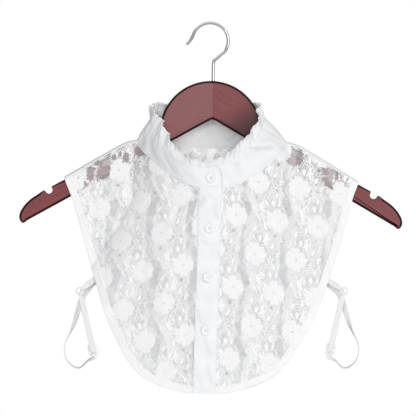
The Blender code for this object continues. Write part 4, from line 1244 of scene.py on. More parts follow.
def motifs(name, side, which, sign):
    start, e1, e2 = repeat_frame(which)
    points, faces, uvs, bright, count = [], [], [], [], 0
    for i in range(-6, 7):
        for j in range(-5, 6):
            for (ou, ov), (p, f, uv) in [*SPRAYS, ((0.0, 0.0), EDGING)]:
                clear = 10**6 if p is EDGING[0] else FLOWER_POINTS
                u = p[:, 0] + ou + i * PERIOD_ACROSS
                v = p[:, 1] + ov + j * PERIOD_UP
                x = start[0] + u * e1[0] + v * e2[0]
                z = start[1] + u * e1[1] + v * e2[1]
                ok = inside_panel(side, x, z)
                # the channels stay clear, but for the flowers at their sides
                ok &= ~in_channel(which, x, z) | (np.arange(len(x)) < clear)
                if side == "front":
                    ok &= ~in_window(x, z)
                if sign:
                    ok &= x * sign > 0
                good = f[ok[f].all(axis=1)]
                if not len(good):
                    continue
                used, again = np.unique(good, return_inverse=True)
                at = np.stack([x[used], z[used], p[used, 2]], -1)
                points.append(at)
                faces.append(again.reshape(good.shape) + count)
                uvs.append(uv[used])
                bright.append(p[used, 3])
                count += len(used)
    at, faces, uvs = np.concatenate(points), np.concatenate(faces), np.concatenate(uvs)
    placed = on_cloth(side, at[:, 0], at[:, 1], at[:, 2] + 0.05)
    if side == "front":
        faces = faces[:, ::-1]
    made = mesh_of(name, placed, faces, MOTIF, uvs, {"bright": np.concatenate(bright)}, angle=0)
    return made


def net_piece(name, side, which, gx, gz):
    grid = lifted(side, gx, gz)
    x, z = grid[..., 0], grid[..., 2]
    level = thread_level(which, x, z)
    faces = quads(*gx.shape)
    uv = np.stack([x, z], -1).reshape(-1, 2)
    made = mesh_of(name, grid.reshape(-1, 3), faces, NET, uv, {"thread": level}, angle=0)
    return made


TUCK = 6.3                     # how far in from the outline the net ends


def net_grid(side, sign):
    gx, gz = panel_grid(side, 138, 170, EDGE_START, TUCK)
    if side == "back":
        middle_z = lerp(ring_xyz(180.0, 0.0)[2], OUTLINE[0][1] + TUCK, np.linspace(0.0, 1.0, 170))
        first = np.linspace(0.0, 1.0, 15)[:-1, None]
        fill_x, fill_z = gx[0] * first, lerp(middle_z, gz[0], first)
        gx = np.concatenate([-gx[::-1], -fill_x[:0:-1], fill_x, gx])
        gz = np.concatenate([gz[::-1], fill_z[:0:-1], fill_z, gz])
        return gx, gz
    edge = placket_middle(gz[0]) + sign * (PLACKET_HALF - 3.0)
    pull = (sign * edge - gx[0])[None, :]
    fade = 1.0 - smooth(np.arange(gx.shape[0]) / 52.0)[:, None]
    return sign * (gx + pull * fade), gz


net_right = net_piece("lace_net_front_right", "front", "right", *net_grid("front", 1.0))
net_left = net_piece("lace_net_front_left", "front", "left", *[g[::-1] for g in net_grid("front", -1.0)])
net_back = net_piece("lace_net_back", "back", "back", *net_grid("back", 0.0))
motif_right = motifs("lace_flowers_front_right", "front", "right", 1.0)
motif_left = motifs("lace_flowers_front_left", "front", "left", -1.0)
motif_back = motifs("lace_flowers_back", "back", "back", 0.0)
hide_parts("front_panel_right")
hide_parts("front_panel_left")
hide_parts("back_panel")


# ------------------------------------------------------------------- stitches
STITCHES = Heap()


def stitch_run(path, normal, pitch=2.6, long=1.9, radius=0.17):
    """Machine stitches along a path of points, each standing on the cloth."""
    path = np.asarray(path, float)
    step = np.r_[0.0, np.cumsum(np.linalg.norm(np.diff(path, axis=0), axis=1))]
    count = int(step[-1] / pitch)
    if count < 2:
        return
    centre = (np.arange(count) + 0.5) * step[-1] / count
    def at(s):
        return np.stack([np.interp(s, step, path[:, k]) for k in range(3)], -1)
    n = np.stack([np.interp(centre, step, np.asarray(normal)[:, k]) for k in range(3)], -1)
    n /= np.linalg.norm(n, axis=1, keepdims=True)
    a, b = at(centre - long / 2), at(centre + long / 2)
    mid = (a + b) / 2 + n * radius * 0.7
    run = b - a
    run /= np.linalg.norm(run, axis=1, keepdims=True)
    side = np.cross(n, run) * radius
    dip = n * radius * 0.6
    rows = [a - dip]
    for centre_at in (lerp(a, mid, 0.45) + n * radius * 0.3, lerp(b, mid, 0.45) + n * radius * 0.3):
        rows += [centre_at - side, centre_at + n * radius, centre_at + side]
    rows += [b - dip]
    points = np.stack(rows, 1).reshape(-1, 3)
    base = np.array([(0, 2, 1), (0, 3, 2), (1, 2, 5, 4), (2, 3, 6, 5), (4, 5, 7), (5, 6, 7)], dtype=object)
    faces = [tuple(v + 8 * k for v in f) for k in range(count) for f in base]
    STITCHES.add(points, faces)


# ---------------------------------------------------------------- bound edges
def rounded(cross, thick, edge=0.12):
    """Thickness across a band that is folded over at both edges."""
    t = np.clip(np.minimum(cross, 1 - cross) / edge, 0, 1)
    return thick * (0.45 + 0.55 * np.sqrt(1 - (1 - t) ** 2))


def fine_binding(name, side, sign):
    steps = 190
    px, pz, ix, iz = along_outline(steps, EDGE_START)
    cross = np.r_[0.0, 0.03, 0.08, 0.15, np.linspace(0.24, 0.78, 7), 0.85, 0.92, 0.97, 1.0]
    if sign:
        bx = px[:, None] + BIND_W * cross * ix[:, None]
        bz = pz[:, None] + BIND_W * cross * iz[:, None]
        edge = placket_middle(bz[0]) + sign * (PLACKET_HALF + 0.1)
        pull = (sign * edge - bx[0])[None, :]
        fade = 1.0 - smooth(np.arange(bx.shape[0]) / 70.0)[:, None]
        gx, gz = sign * (bx + pull * fade), bz
    else:
        bx = px[:, None] + BIND_W * cross * ix[:, None]
        bz = pz[:, None] + BIND_W * cross * iz[:, None]
        low = OUTLINE[0][1] + BIND_W * cross
        share = np.linspace(0.0, 1.0, 12)[:-1, None]
        fx, fz = bx[0] * share, lerp(low, bz[0], share)
        gx = np.concatenate([-bx[::-1], -fx[:0:-1], fx, bx])
        gz = np.concatenate([bz[::-1], fz[:0:-1], fz, bz])
    grid = lifted(side, gx, gz)
    run = np.r_[0.0, np.cumsum(np.linalg.norm(np.diff(grid[:, 7], axis=0), axis=1))]
    wander = 0.22 * np.sin(run / 9.0 + 1.3 * np.sin(run / 31.0)) + 0.12 * np.sin(run / 3.7)
    pucker = wander[:, None] * (np.abs(cross - 0.5) * 2) ** 2
    seam = 0.16 * np.exp(-(((cross - 0.84) / 0.03) ** 2))[None, :]
    thick = rounded(cross, BIND_T)[None, :] - seam
    flip = sign == -1.0
    made = shell(name, grid, thick, TAPE, shift=pucker * 0.5, flip=flip)
    n = normals(grid) * (-1.0 if flip else 1.0)
    for at, face in ((10, 1.0), (10, -1.0)):
        line = grid[:, at] + n[:, at] * face * (0.5 * thick[0, at] + 0.02) + n[:, at] * (pucker[:, at] * 0.5)[:, None]
        stitch_run(line, n[:, at] * face)
    return made


bind_right = fine_binding("bound_edge_front_right", "front", 1.0)
bind_left = fine_binding("bound_edge_front_left", "front", -1.0)
bind_back = fine_binding("bound_edge_back", "back", 0.0)
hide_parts("binding_front_right")
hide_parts("binding_front_left")
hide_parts("binding_back")


def shoulder_seam(name, sign):
    """The plain turned strip along a shoulder seam, over the arm."""
    x = np.linspace(85.0, 169.0, 90)
    deep = np.array([2.6, 2.3, 1.9, 1.5, 1.0, 0.6, 0.25, 0.02])
    rows = []
    for side, below in [("front", d) for d in deep] + [("back", d) for d in deep[::-1]]:
        z = shoulder_z(x) - below
        y = cloth_y(side, sign * x, z)
        rows.append(np.stack([sign * (x + 0 * z), y, z], -1))
    grid = np.stack(rows, 1)
    grid[..., 2] += 0.35
    cross = np.linspace(0, 1, grid.shape[1])
    flip = sign > 0
    return shell(name, grid, rounded(cross, 1.1, 0.2)[None, :] + 0 * grid[..., 0], TAPE, shift=-0.35, flip=flip)


seam_right = shoulder_seam("shoulder_seam_right", 1.0)
seam_left = shoulder_seam("shoulder_seam_left", -1.0)


# ------------------------------------------------------------------- plackets
PLACKET_TOP = -188.9
PLACKET_CREASES = [
    # x0      z0      x1      z1     half  depth  (a ridge is negative)
    (-3.0, -193.0, 10.0, -204.0, 2.4, -0.9),
    (-7.0, -199.0, -12.0, -214.0, 2.6, 0.8),
    (-11.0, -238.0, 9.0, -262.0, 3.2, -0.7),
    (-10.0, -250.0, 4.0, -258.0, 2.2, 0.5),
    (3.0, -206.0, 10.0, -228.0, 2.6, 0.5),
    (-12.0, -284.0, -3.0, -300.0, 3.0, 0.45),
    (5.0, -300.0, 9.0, -338.0, 2.8, -0.5),
    (-13.0, -326.0, -8.0, -350.0, 2.6, 0.5),
    (-16.0, -384.0, -7.0, -414.0, 2.8, -0.8),
    (-6.0, -362.0, 4.0, -384.0, 2.4, 0.45),
    (-1.0, -392.0, 6.0, -418.0, 2.4, 0.5),
]


def crease_sum(table, x, z):
    total = np.zeros_like(x)
    for x0, z0, x1, z1, half, depth in table:
        dx, dz = x1 - x0, z1 - z0
        long = math.hypot(dx, dz)
        along = ((x - x0) * dx + (z - z0) * dz) / long**2
        bend = 0.06 * long * np.sin(np.pi * np.clip(along, 0, 1))
        across = ((x - x0) * dz - (z - z0) * dx) / long - bend
        end = smooth((along + 0.1) / 0.35) * smooth((1.1 - along) / 0.35)
        total += depth * end * np.exp(-((across / half) ** 2))
    return total


def fine_placket(name, shift, outer):
    down = np.linspace(0.0, 1.0, 260)
    cross = np.array([-1, -0.985, -0.955, -0.92, -0.89, -0.86, -0.8, -0.68, -0.5, -0.3, -0.1, 0.1, 0.3, 0.5, 0.68, 0.8, 0.86, 0.89, 0.92, 0.955, 0.985, 1.0])
    top = PLACKET_TOP + 0.9 * cross**2
    z = lerp(top[None, :], -427.4 + 0.7 * cross[None, :] ** 2, down[:, None])
    x = placket_middle(z) + PLACKET_HALF * cross[None, :]
    run = down * 239.0
    edge_wave = 0.16 * np.sin(run / 5.5 + np.sin(run / 17.0)) + 0.09 * np.sin(run / 2.3)
    x = x + edge_wave[:, None] * np.abs(cross) ** 6 * np.sign(cross)
    grid = lifted("front", x, z)
    moved = crease_sum(PLACKET_CREASES, x, z) * (1.0 if outer else 0.2)
    seam = 0.22 * (np.exp(-(((np.abs(cross) - 0.89) / 0.028) ** 2)))[None, :]
    puff = 0.14 * np.sin(run / 1.3)[:, None] * np.exp(-(((np.abs(cross) - 0.80) / 0.05) ** 2))[None, :]
    thick = (PLACKET_T * (0.5 + 0.5 * np.clip((1 - np.abs(cross)) / 0.04, 0, 1) ** 0.5))[None, :] - seam + 0 * z
    at = shift - np.clip(moved, -0.9, 0.35) * 0.8 + (puff if outer else 0.0)
    # painted shade: darker in the creases' troughs, a little on the high ridges, along the two seam lines and at the
    # folded edges
    seam_and_edge_shade = np.exp(-(((np.abs(cross) - 0.89) / 0.022) ** 2))[None, :] * 0.10 + np.exp(-(((1.0 - np.abs(cross)) / 0.016) ** 2))[None, :] * 0.5
    dip = np.clip(moved, 0, 1) * 0.34 + np.clip(-moved - 0.45, 0, 1) * 0.1 + seam_and_edge_shade
    made = shell(name, grid, thick, COTTON, shift=at, values={"fold": dip + 0 * z})
    if outer:
        n = normals(grid)
        for k in (4, 17):
            lift = (at[:, k] + thick[:, k] / 2 - 0.02)[:, None]
            stitch_run(grid[:, k] + n[:, k] * lift, n[:, k])
        for row in (3, 250):
            lift = (at[row] + thick[row] / 2)[:, None]
            stitch_run((grid[row] + n[row] * lift)[3:-3], n[row][3:-3], 2.2, 1.6)
    return made


over = fine_placket("placket_outer", 0.7, True)
under = fine_placket("placket_inner", -0.7, False)
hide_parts("placket_over")
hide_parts("placket_under")


# ---------------------------------------------------------------------- stand
STAND_CREASES = [
    # angle0 level0 angle1 level1 half(mm) depth
    (47.0, 0.98, 66.0, 0.35, 1.9, 1.0),
    (52.0, 1.0, 72.0, 0.5, 2.4, -0.8),
    (30.0, 0.9, 24.0, 0.2, 3.4, 0.35),
    (14.0, 0.85, 20.0, 0.15, 3.0, -0.3),
    (75.0, 0.85, 84.0, 0.25, 2.0, 0.6),
    (88.0, 0.9, 97.0, 0.2, 2.2, -0.6),
    (104.0, 0.8, 99.0, 0.2, 2.4, 0.5),
    (291.0, 0.9, 314.0, 0.12, 3.4, 0.9),
    (302.0, 0.95, 325.0, 0.2, 3.8, -0.8),
    (313.0, 0.85, 334.0, 0.2, 3.0, 0.7),
    (324.0, 0.9, 343.0, 0.25, 3.6, -0.6),
    (334.0, 0.6, 352.0, 0.3, 2.8, 0.5),
    (284.0, 0.75, 300.0, 0.1, 2.6, -0.5),
    (272.0, 0.85, 283.0, 0.25, 2.2, 0.6),
    (262.0, 0.9, 268.0, 0.2, 2.2, -0.6),
    (150.0, 0.8, 168.0, 0.3, 3.2, 0.6),
    (172.0, 0.65, 205.0, 0.5, 3.0, -0.6),
    (196.0, 0.25, 226.0, 0.4, 2.6, 0.6),
    (214.0, 0.8, 236.0, 0.55, 2.6, -0.6),
    (130.0, 0.3, 148.0, 0.55, 2.6, -0.5),
    (345.0, 0.3, 357.0, 0.75, 2.6, -0.35),
]


def stand_grid(turn, levels):
    free = np.maximum(turn - 352.0, 0.0)
    grid = np.stack([ring_xyz(turn + 0.33 * level * free, level) for level in levels], axis=1)
    push = lap(turn)[:, None] + 0.9 * np.sin(np.pi * np.clip(levels, 0, 1))[None, :]
    grid += ring_out(turn)[:, None, :] * push[:, :, None]
    drop = 3.4 * smooth((turn - 365.6) / 2.9) ** 1.3
    top = np.clip((levels - 0.55) / 0.45, 0, 1) ** 2
    grid[:, :, 2] -= drop[:, None] * top[None, :]
    return grid


STAND_TURN = np.unique(np.r_[np.linspace(-8.5, 368.5, 400), np.linspace(84, 96, 12), np.linspace(264, 276, 12), np.linspace(364, 368.5, 14)])
STAND_LEVELS = np.r_[-0.06, -0.04, -0.015, 0.015, 0.05, np.linspace(0.12, 0.88, 13), 0.91, 0.94, 0.965, 0.985, 1.0]
grid = stand_grid(STAND_TURN, STAND_LEVELS)
flat_x, flat_z = np.broadcast_arrays((STAND_TURN * 1.28)[:, None], (STAND_LEVELS * 22.0)[None, :])
table = [(a0 * 1.28, l0 * 22.0, a1 * 1.28, l1 * 22.0, half, depth) for a0, l0, a1, l1, half, depth in STAND_CREASES]
ripple = crease_sum(table, flat_x, flat_z)
ripple = ripple + 0.12 * np.sin(flat_x / 2.9 + 0.4 * np.sin(flat_x / 9.0)) * (1 - smooth(flat_z / 6.0)) + 0.2 * np.sin(flat_x / 2.1 + np.sin(flat_x / 6.3)) * smooth((flat_z - 15.0) / 6.0)
ends = smooth((STAND_TURN + 8.5) / 6.0) * smooth((368.5 - STAND_TURN) / 6.0)
seam = np.exp(-(((STAND_LEVELS * 22.0 - 0.33) / 0.45) ** 2))[None, :] * 0.25
free_seam = np.exp(-((((368.5 - STAND_TURN) * 1.28 - 1.7) / 0.5) ** 2))[:, None] * 0.22
edge_round = np.clip(np.minimum(STAND_LEVELS + 0.06, 1.02 - STAND_LEVELS) / 0.03, 0, 1)[None, :] ** 0.5
thick = (WOVEN_T * (0.55 + 0.45 * edge_round)) - seam - free_seam
# painted shade: darker in the creases' troughs, a little on their ridges, along the top and neck seams, and at the free
# front end and its seam
shade = 0.34 * np.clip(ripple, 0, 1) + 0.05 * np.clip(-ripple, 0, 1)
shade += 0.10 * np.exp(-(((STAND_LEVELS - 1.0) * 22.0 / 0.5) ** 2))[None, :] + 0.12 * np.exp(-(((STAND_LEVELS * 22.0 - 0.4) / 0.5) ** 2))[None, :]
shade += 0.5 * np.exp(-((((368.5 - STAND_TURN) * 1.28) / 0.6) ** 2))[:, None] + 0.12 * np.exp(-((((368.5 - STAND_TURN) * 1.28 - 1.7) / 0.5) ** 2))[:, None]
around = STAND_TURN % 360.0
# painted shade on the left of the stand
shade += (0.26 * smooth((around - 278.0) / 16.0) * smooth((352.0 - around) / 26.0))[:, None]
stand = shell("stand", grid, thick, COTTON, shift=-1.0 * ripple * ends[:, None], values={"fold": shade})
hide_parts("collar_stand")
n = normals(grid)
k = 3
stitch_run((grid[:, k] + n[:, k] * (thick[:, k] / 2 + 0.0)[:, None]), n[:, k])
front_free = np.searchsorted(STAND_TURN, 368.5 - 1.33)
stitch_run((grid[front_free] + n[front_free] * 0.5)[3:-2], n[front_free][3:-2], 2.4, 1.7)


# ---------------------------------------------------------------------- frill
WAVES = 21
GATHERS = 58
count = 1150
turn = np.linspace(0.6, 357.9, count)
away = np.minimum(turn, 360.0 - turn)
front = np.exp(-((away / 50.0) ** 2))
density = np.cumsum(1.0 - 0.4 * front)
phase = 2 * np.pi * WAVES * density / density[-1]
phase = phase + 0.9 * np.sin(np.radians(3 * turn)) + 0.75 * np.sin(np.radians(7 * turn + 40)) + 0.35 * np.sin(np.radians(11 * turn + 160))
small = 2 * np.pi * GATHERS * (turn / 360.0) + 1.4 * np.sin(np.radians(5 * turn + 10)) + 1.1 * np.sin(np.radians(11 * turn + 70)) + 0.8 * np.sin(np.radians(23 * turn))
tiny = 2 * np.pi * 131 * (turn / 360.0) + 1.9 * np.sin(np.radians(9 * turn + 50))
height = spline([row[:2] for row in FRILL], turn)
lean = spline([(row[0], row[2]) for row in FRILL], turn)
swing = 2.9 + 0.9 * front + 0.8 * np.sin(np.radians(5 * turn + 20.0)) + 0.5 * np.sin(np.radians(9 * turn + 200.0))
calm = smooth((turn - 1.0) / 12.0) * smooth((357.5 - turn) / 12.0)
base = stand_grid(turn, np.array([1.0]))[:, 0]
out_way = ring_out(turn)
around_way = np.stack([-out_way[:, 1], out_way[:, 0], 0 * turn], -1)
uneven = 0.75 + 0.35 * np.sin(np.radians(13 * turn + 30)) + 0.25 * np.sin(np.radians(29 * turn))
shares = np.r_[0.0, 0.03, 0.07, 0.12, np.linspace(0.18, 0.86, 12), 0.9, 0.93, 0.955, 0.98, 1.0]
rows = []
for share in shares:
    gather = (0.62 - 0.40 * front) * uneven * np.sin(small) * (0.75 + 0.3 * share) * (1 - 0.72 * share) + 0.22 * np.sin(tiny) * (1 - share) ** 1.5
    fold = np.sin(phase + 0.5 * np.sin(small) * share)
    fold = fold + 0.22 * np.sin(2 * phase + 0.8)
    out = share**1.1 * (0.6 + calm * swing * fold) + calm * gather * smooth(share / 0.08 + 0.25)
    point = base + out_way * out[:, None]
    point = point + around_way * (0.75 * calm * swing * 0.5 * np.cos(phase) * share**1.4)[:, None]
    rippled = 0.7 * np.cos(2 * phase) * share * calm + 0.35 * np.sin(small + 1.0) * share * calm * uneven
    point[:, 0] += lean * share**1.2
    point[:, 2] += -0.15 + share * (height + 1.0) + rippled
    rows.append(point)
grid = np.stack(rows, axis=1)
hem = np.exp(-(((shares - 0.88) / 0.02) ** 2)) * 0.12
thick = np.where(shares > 0.89, 0.95, 0.62)[None, :] - hem[None, :] + 0 * grid[..., 0]
# painted shade: darker in the troughs of the gathers and the folds, at the seam, along the rolled hem and in a band
# just below it
dark = 0.10 * np.clip(-np.sin(small), 0, 1)[:, None] * (1 - 0.8 * shares)[None, :] + 0.06 * np.clip(-np.sin(phase), 0, 1)[:, None] * (0.3 + 0.7 * shares)[None, :]
dark += 0.05 * np.exp(-((shares / 0.05) ** 2))[None, :] + 0.26 * np.exp(-(((shares - 0.88) / 0.025) ** 2))[None, :] + 0.12 * np.exp(-(((shares - 0.8) / 0.08) ** 2))[None, :]
frill = shell("frill_gathered", grid, thick, FRILL_COTTON, values={"fold": dark})
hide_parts("frill")
n = normals(grid)
k = int(np.argmin(np.abs(shares - 0.9)))
for face in (1.0, -1.0):
    stitch_run(grid[:, k] + n[:, k] * face * 0.42, n[:, k] * face, 2.3, 1.6, 0.14)


# -------------------------------------------------------------------- buttons
def applied(obj):
    """The object's mesh with its modifiers built in."""
    graph = bpy.context.evaluated_depsgraph_get()
    mesh = bpy.data.meshes.new_from_object(obj.evaluated_get(graph))
    obj.modifiers.clear()
    obj.data = mesh
    return obj


def turned(section, sides):
    points, faces, loops = [], [], []
    for radius, lift in section:
        if radius == 0.0:
            loops.append([len(points)])
            points.append((0.0, -lift, 0.0))
            continue
        loops.append(list(range(len(points), len(points) + sides)))
        points += [
            (radius * math.cos(2 * math.pi * k / sides), -lift, radius * math.sin(2 * math.pi * k / sides))
            for k in range(sides)
        ]
    for a, b in zip(loops, loops[1:]):
        for k in range(sides):
            m = (k + 1) % sides
            if len(a) == 1:
                faces.append((a[0], b[k], b[m]))
            elif len(b) == 1:
                faces.append((a[k], b[0], a[m]))
            else:
                faces.append((a[k], b[k], b[m], a[m]))
    return points, faces


FINE_SECTION = [
    (0.0, 0.0), (4.3, 0.0), (4.9, 0.12), (5.3, 0.42), (5.55, 0.85), (5.68, 1.35), (5.6, 1.85),
    (5.35, 2.2), (5.0, 2.42), (4.6, 2.5), (4.25, 2.44), (3.95, 2.28), (3.7, 2.06), (3.4, 1.86),
    (3.0, 1.74), (2.2, 1.66), (0.0, 1.62),
]


def fine_button(name, x, z, on_stand):
    if on_stand:
        y = float(ring_xyz(360.0, 0.5)[1]) - 1.0 - 0.9 - WOVEN_T / 2
        tilt = math.atan2(FRONT_NECK_Y - STAND_TOP_FRONT_Y, 22.2)
    else:
        y = float(cloth_y("front", x, z)) - 0.7 - PLACKET_T / 2
        step = float(cloth_y("front", x, z + 6.0) - cloth_y("front", x, z - 6.0))
        tilt = math.atan2(step, 12.0)
    y -= GAP + 0.1
    points, faces = turned(FINE_SECTION, 64)
    made = mesh_of(name + "_resin", points, [f[::-1] for f in faces], RESIN, angle=50)
    made.data.transform(Matrix.Translation((-HOOK_OFFSET * MM, 0, 0)))
    place = Matrix.Translation(((x + HOOK_OFFSET) * MM, y * MM, z * MM)) @ Matrix.Rotation(-tilt, 4, "X")
    hole_points, hole_faces = [], []
    for dx in (-1.15, 1.15):
        for dz in (-1.15, 1.15):
            start = len(hole_points)
            for yy in (-4.0, 1.0):
                hole_points += [
                    (dx + 0.55 * math.cos(2 * math.pi * k / 16), yy, dz + 0.55 * math.sin(2 * math.pi * k / 16))
                    for k in range(16)
                ]
            hole_faces += [tuple(start + k for k in range(16)), tuple(start + k for k in range(31, 15, -1))]
            hole_faces += [(start + k, start + 16 + k, start + 16 + (k + 1) % 16, start + (k + 1) % 16) for k in range(16)]
    mesh = bpy.data.meshes.new("holes")
    mesh.from_pydata([tuple(v * MM for v in p) for p in hole_points], [], hole_faces)
    holes = bpy.data.objects.new("holes", mesh)
    bpy.context.scene.collection.objects.link(holes)
    bit = made.modifiers.new("holes", "BOOLEAN")
    bit.object, bit.operation, bit.solver = holes, "DIFFERENCE", "EXACT"
    applied(made)
    bpy.data.objects.remove(holes, do_unlink=True)
    made.data.transform(place)
    made.data.set_sharp_from_angle(angle=math.radians(50))
    # thread through the holes
    threads = Heap()
    for dx in (-1.15, 1.15):
        for off in (-0.2, 0.05, 0.28):
            line = [(dx + off, -1.2, -1.15), (dx + off * 1.3, -1.95, -0.7), (dx + off * 1.4, -2.05, 0.0), (dx + off * 1.3, -1.95, 0.7), (dx + off, -1.2, 1.15)]
            threads.add(*tube(line, 0.15, 6))
    held = threads.piece(name + "_thread", THREAD)
    held.data.transform(Matrix.Translation((-HOOK_OFFSET * MM, 0, 0)))
    held.data.transform(place)
    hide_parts(name)
    return made


for row in BUTTONS:
    fine_button(*row)


def buttonhole(x, z, long=14.0, wide=2.6):
    """Close zigzag stitches round an upright slit, mostly behind its button."""
    for side_sign in (-1.0, 1.0):
        zz = np.linspace(z - long / 2, z + long / 2, 40)
        xx = x + side_sign * wide * 0.36 + 0 * zz
        for a, b in zip(zz[:-1], zz[1:]):
            xs = np.array([x + side_sign * 0.28, x + side_sign * wide / 2])
            zs = np.array([(a + b) / 2, (a + b) / 2])
            p = on_cloth("front", xs, zs, 0.7 + PLACKET_T / 2 + 0.03 + 0 * xs)
            n = np.tile(np.array([[0.0, -1.0, 0.0]]), (2, 1))
            path = np.linspace(p[0], p[1], 5)
            step_rows(path)


HOLE_HEAP = Heap()


def step_rows(path):
    run = path[-1] - path[0]
    run /= np.linalg.norm(run)
    up = np.array([0.0, -1.0, 0.0])
    side = np.cross(up, run) * 0.15
    pts = [path[0], path[1] - side, path[1] + up * 0.15, path[1] + side, path[3] - side, path[3] + up * 0.15, path[3] + side, path[4]]
    HOLE_HEAP.add(np.array(pts), [(0, 2, 1), (0, 3, 2), (1, 2, 5, 4), (2, 3, 6, 5), (4, 5, 7), (5, 6, 7)])


for name, x, z, on_stand in BUTTONS:
    if not on_stand:
        buttonhole(x, z)
HOLE_HEAP.piece("buttonhole_stitches", THREAD)


# --------------------------------------------------------------------- straps
def smooth_path(rows, fine=3):
    """Points on a smooth curve through rows x, y, z, flat, width."""
    rows = np.array(rows, float)
    step = np.r_[0.0, np.cumsum(np.linalg.norm(np.diff(rows[:, :3], axis=0), axis=1))]
    at = [0.0]
    for a, b in zip(step, step[1:]):
        parts = fine if b - a < 1.6 else 2 * fine if b - a < 9.0 else 4 * fine
        at += list(np.linspace(a, b, parts + 1)[1:])
    return np.stack([spline(np.c_[step, rows[:, k]], at) for k in range(5)], axis=1)


BAND_SECTION = [
    # across, lift: half the outline of the band's rounded edge
    (-1.0, 0.0), (-0.97, 0.30), (-0.90, 0.44), (-0.72, 0.50), (-0.4, 0.46), (0.0, 0.5),
    (0.4, 0.46), (0.72, 0.50), (0.90, 0.44), (0.97, 0.30), (1.0, 0.0),
]


def band(name, rows, material):
    path = smooth_path(rows)
    p = path[:, :3]
    run = np.gradient(p, axis=0)
    run /= np.linalg.norm(run, axis=1, keepdims=True)
    face = [np.array([0.0, -1.0, 0.0])]
    for i in range(len(p)):
        turned_face = face[-1] - run[i] * np.dot(face[-1], run[i])
        square = np.array([0.0, -1.0, 0.0]) + run[i] * run[i, 1]
        if np.linalg.norm(square) > 0.5:
            turned_face = square * (1.0 if np.dot(square, turned_face) > 0 else -1.0)
        face.append(turned_face / np.linalg.norm(turned_face))
    face = np.array(face[1:])
    flat = np.radians(path[:, 3])[:, None]
    side = np.cross(run, face)
    face, side = (
        face * np.cos(flat) + side * np.sin(flat),
        side * np.cos(flat) - face * np.sin(flat),
    )
    half = path[:, 4] / 2
    step = np.r_[0.0, np.cumsum(np.linalg.norm(np.diff(p, axis=0), axis=1))]
    upper = np.array(BAND_SECTION)
    lower = upper[-2:0:-1] * [1, -1]
    section = np.concatenate([upper, lower])
    sides = len(section)
    edge = 1.0 + 0.02 * np.sin(step / 1.1) + 0.015 * np.sin(step / 0.47)
    points = (
        p[:, None]
        + side[:, None] * (half * edge)[:, None, None] * section[None, :, :1]
        + face[:, None] * STRAP_T * section[None, :, 1:]
    ).reshape(-1, 3)
    n = len(p)
    i, j = np.arange(n - 1)[:, None], np.arange(sides)[None, :]
    k = (j + 1) % sides
    faces = np.stack([i * sides + j, i * sides + k, (i + 1) * sides + k, (i + 1) * sides + j], -1).reshape(-1, 4).tolist()
    faces += [tuple(range(sides))[::-1], tuple(range((n - 1) * sides, n * sides))]
    uv = np.stack(np.broadcast_arrays(step[:, None], half[:, None] * section[None, :, 0]), -1).reshape(-1, 2)
    made = mesh_of(name + "_elastic", points, [f[::-1] for f in faces], material, uv)
    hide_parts(name)
    return made, p, face, side


def ring(name, x, y, z, radius, wire, material, around=72, section=20):
    a = np.linspace(0, 2 * np.pi, around, endpoint=False)[:, None]
    b = np.linspace(0, 2 * np.pi, section, endpoint=False)[None, :]
    r = radius + wire * np.cos(b)
    points = np.stack([x + r * np.cos(a), y + wire * np.sin(b) + 0 * a, z + r * np.sin(a)], -1).reshape(-1, 3)
    i, j = np.arange(around)[:, None], np.arange(section)[None, :]
    k, m = (i + 1) % around, (j + 1) % section
    faces = np.stack([i * section + j, k * section + j, k * section + m, i * section + m], -1).reshape(-1, 4)
    made = mesh_of(name + "_coated", points, faces, material)
    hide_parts(name)
    return made


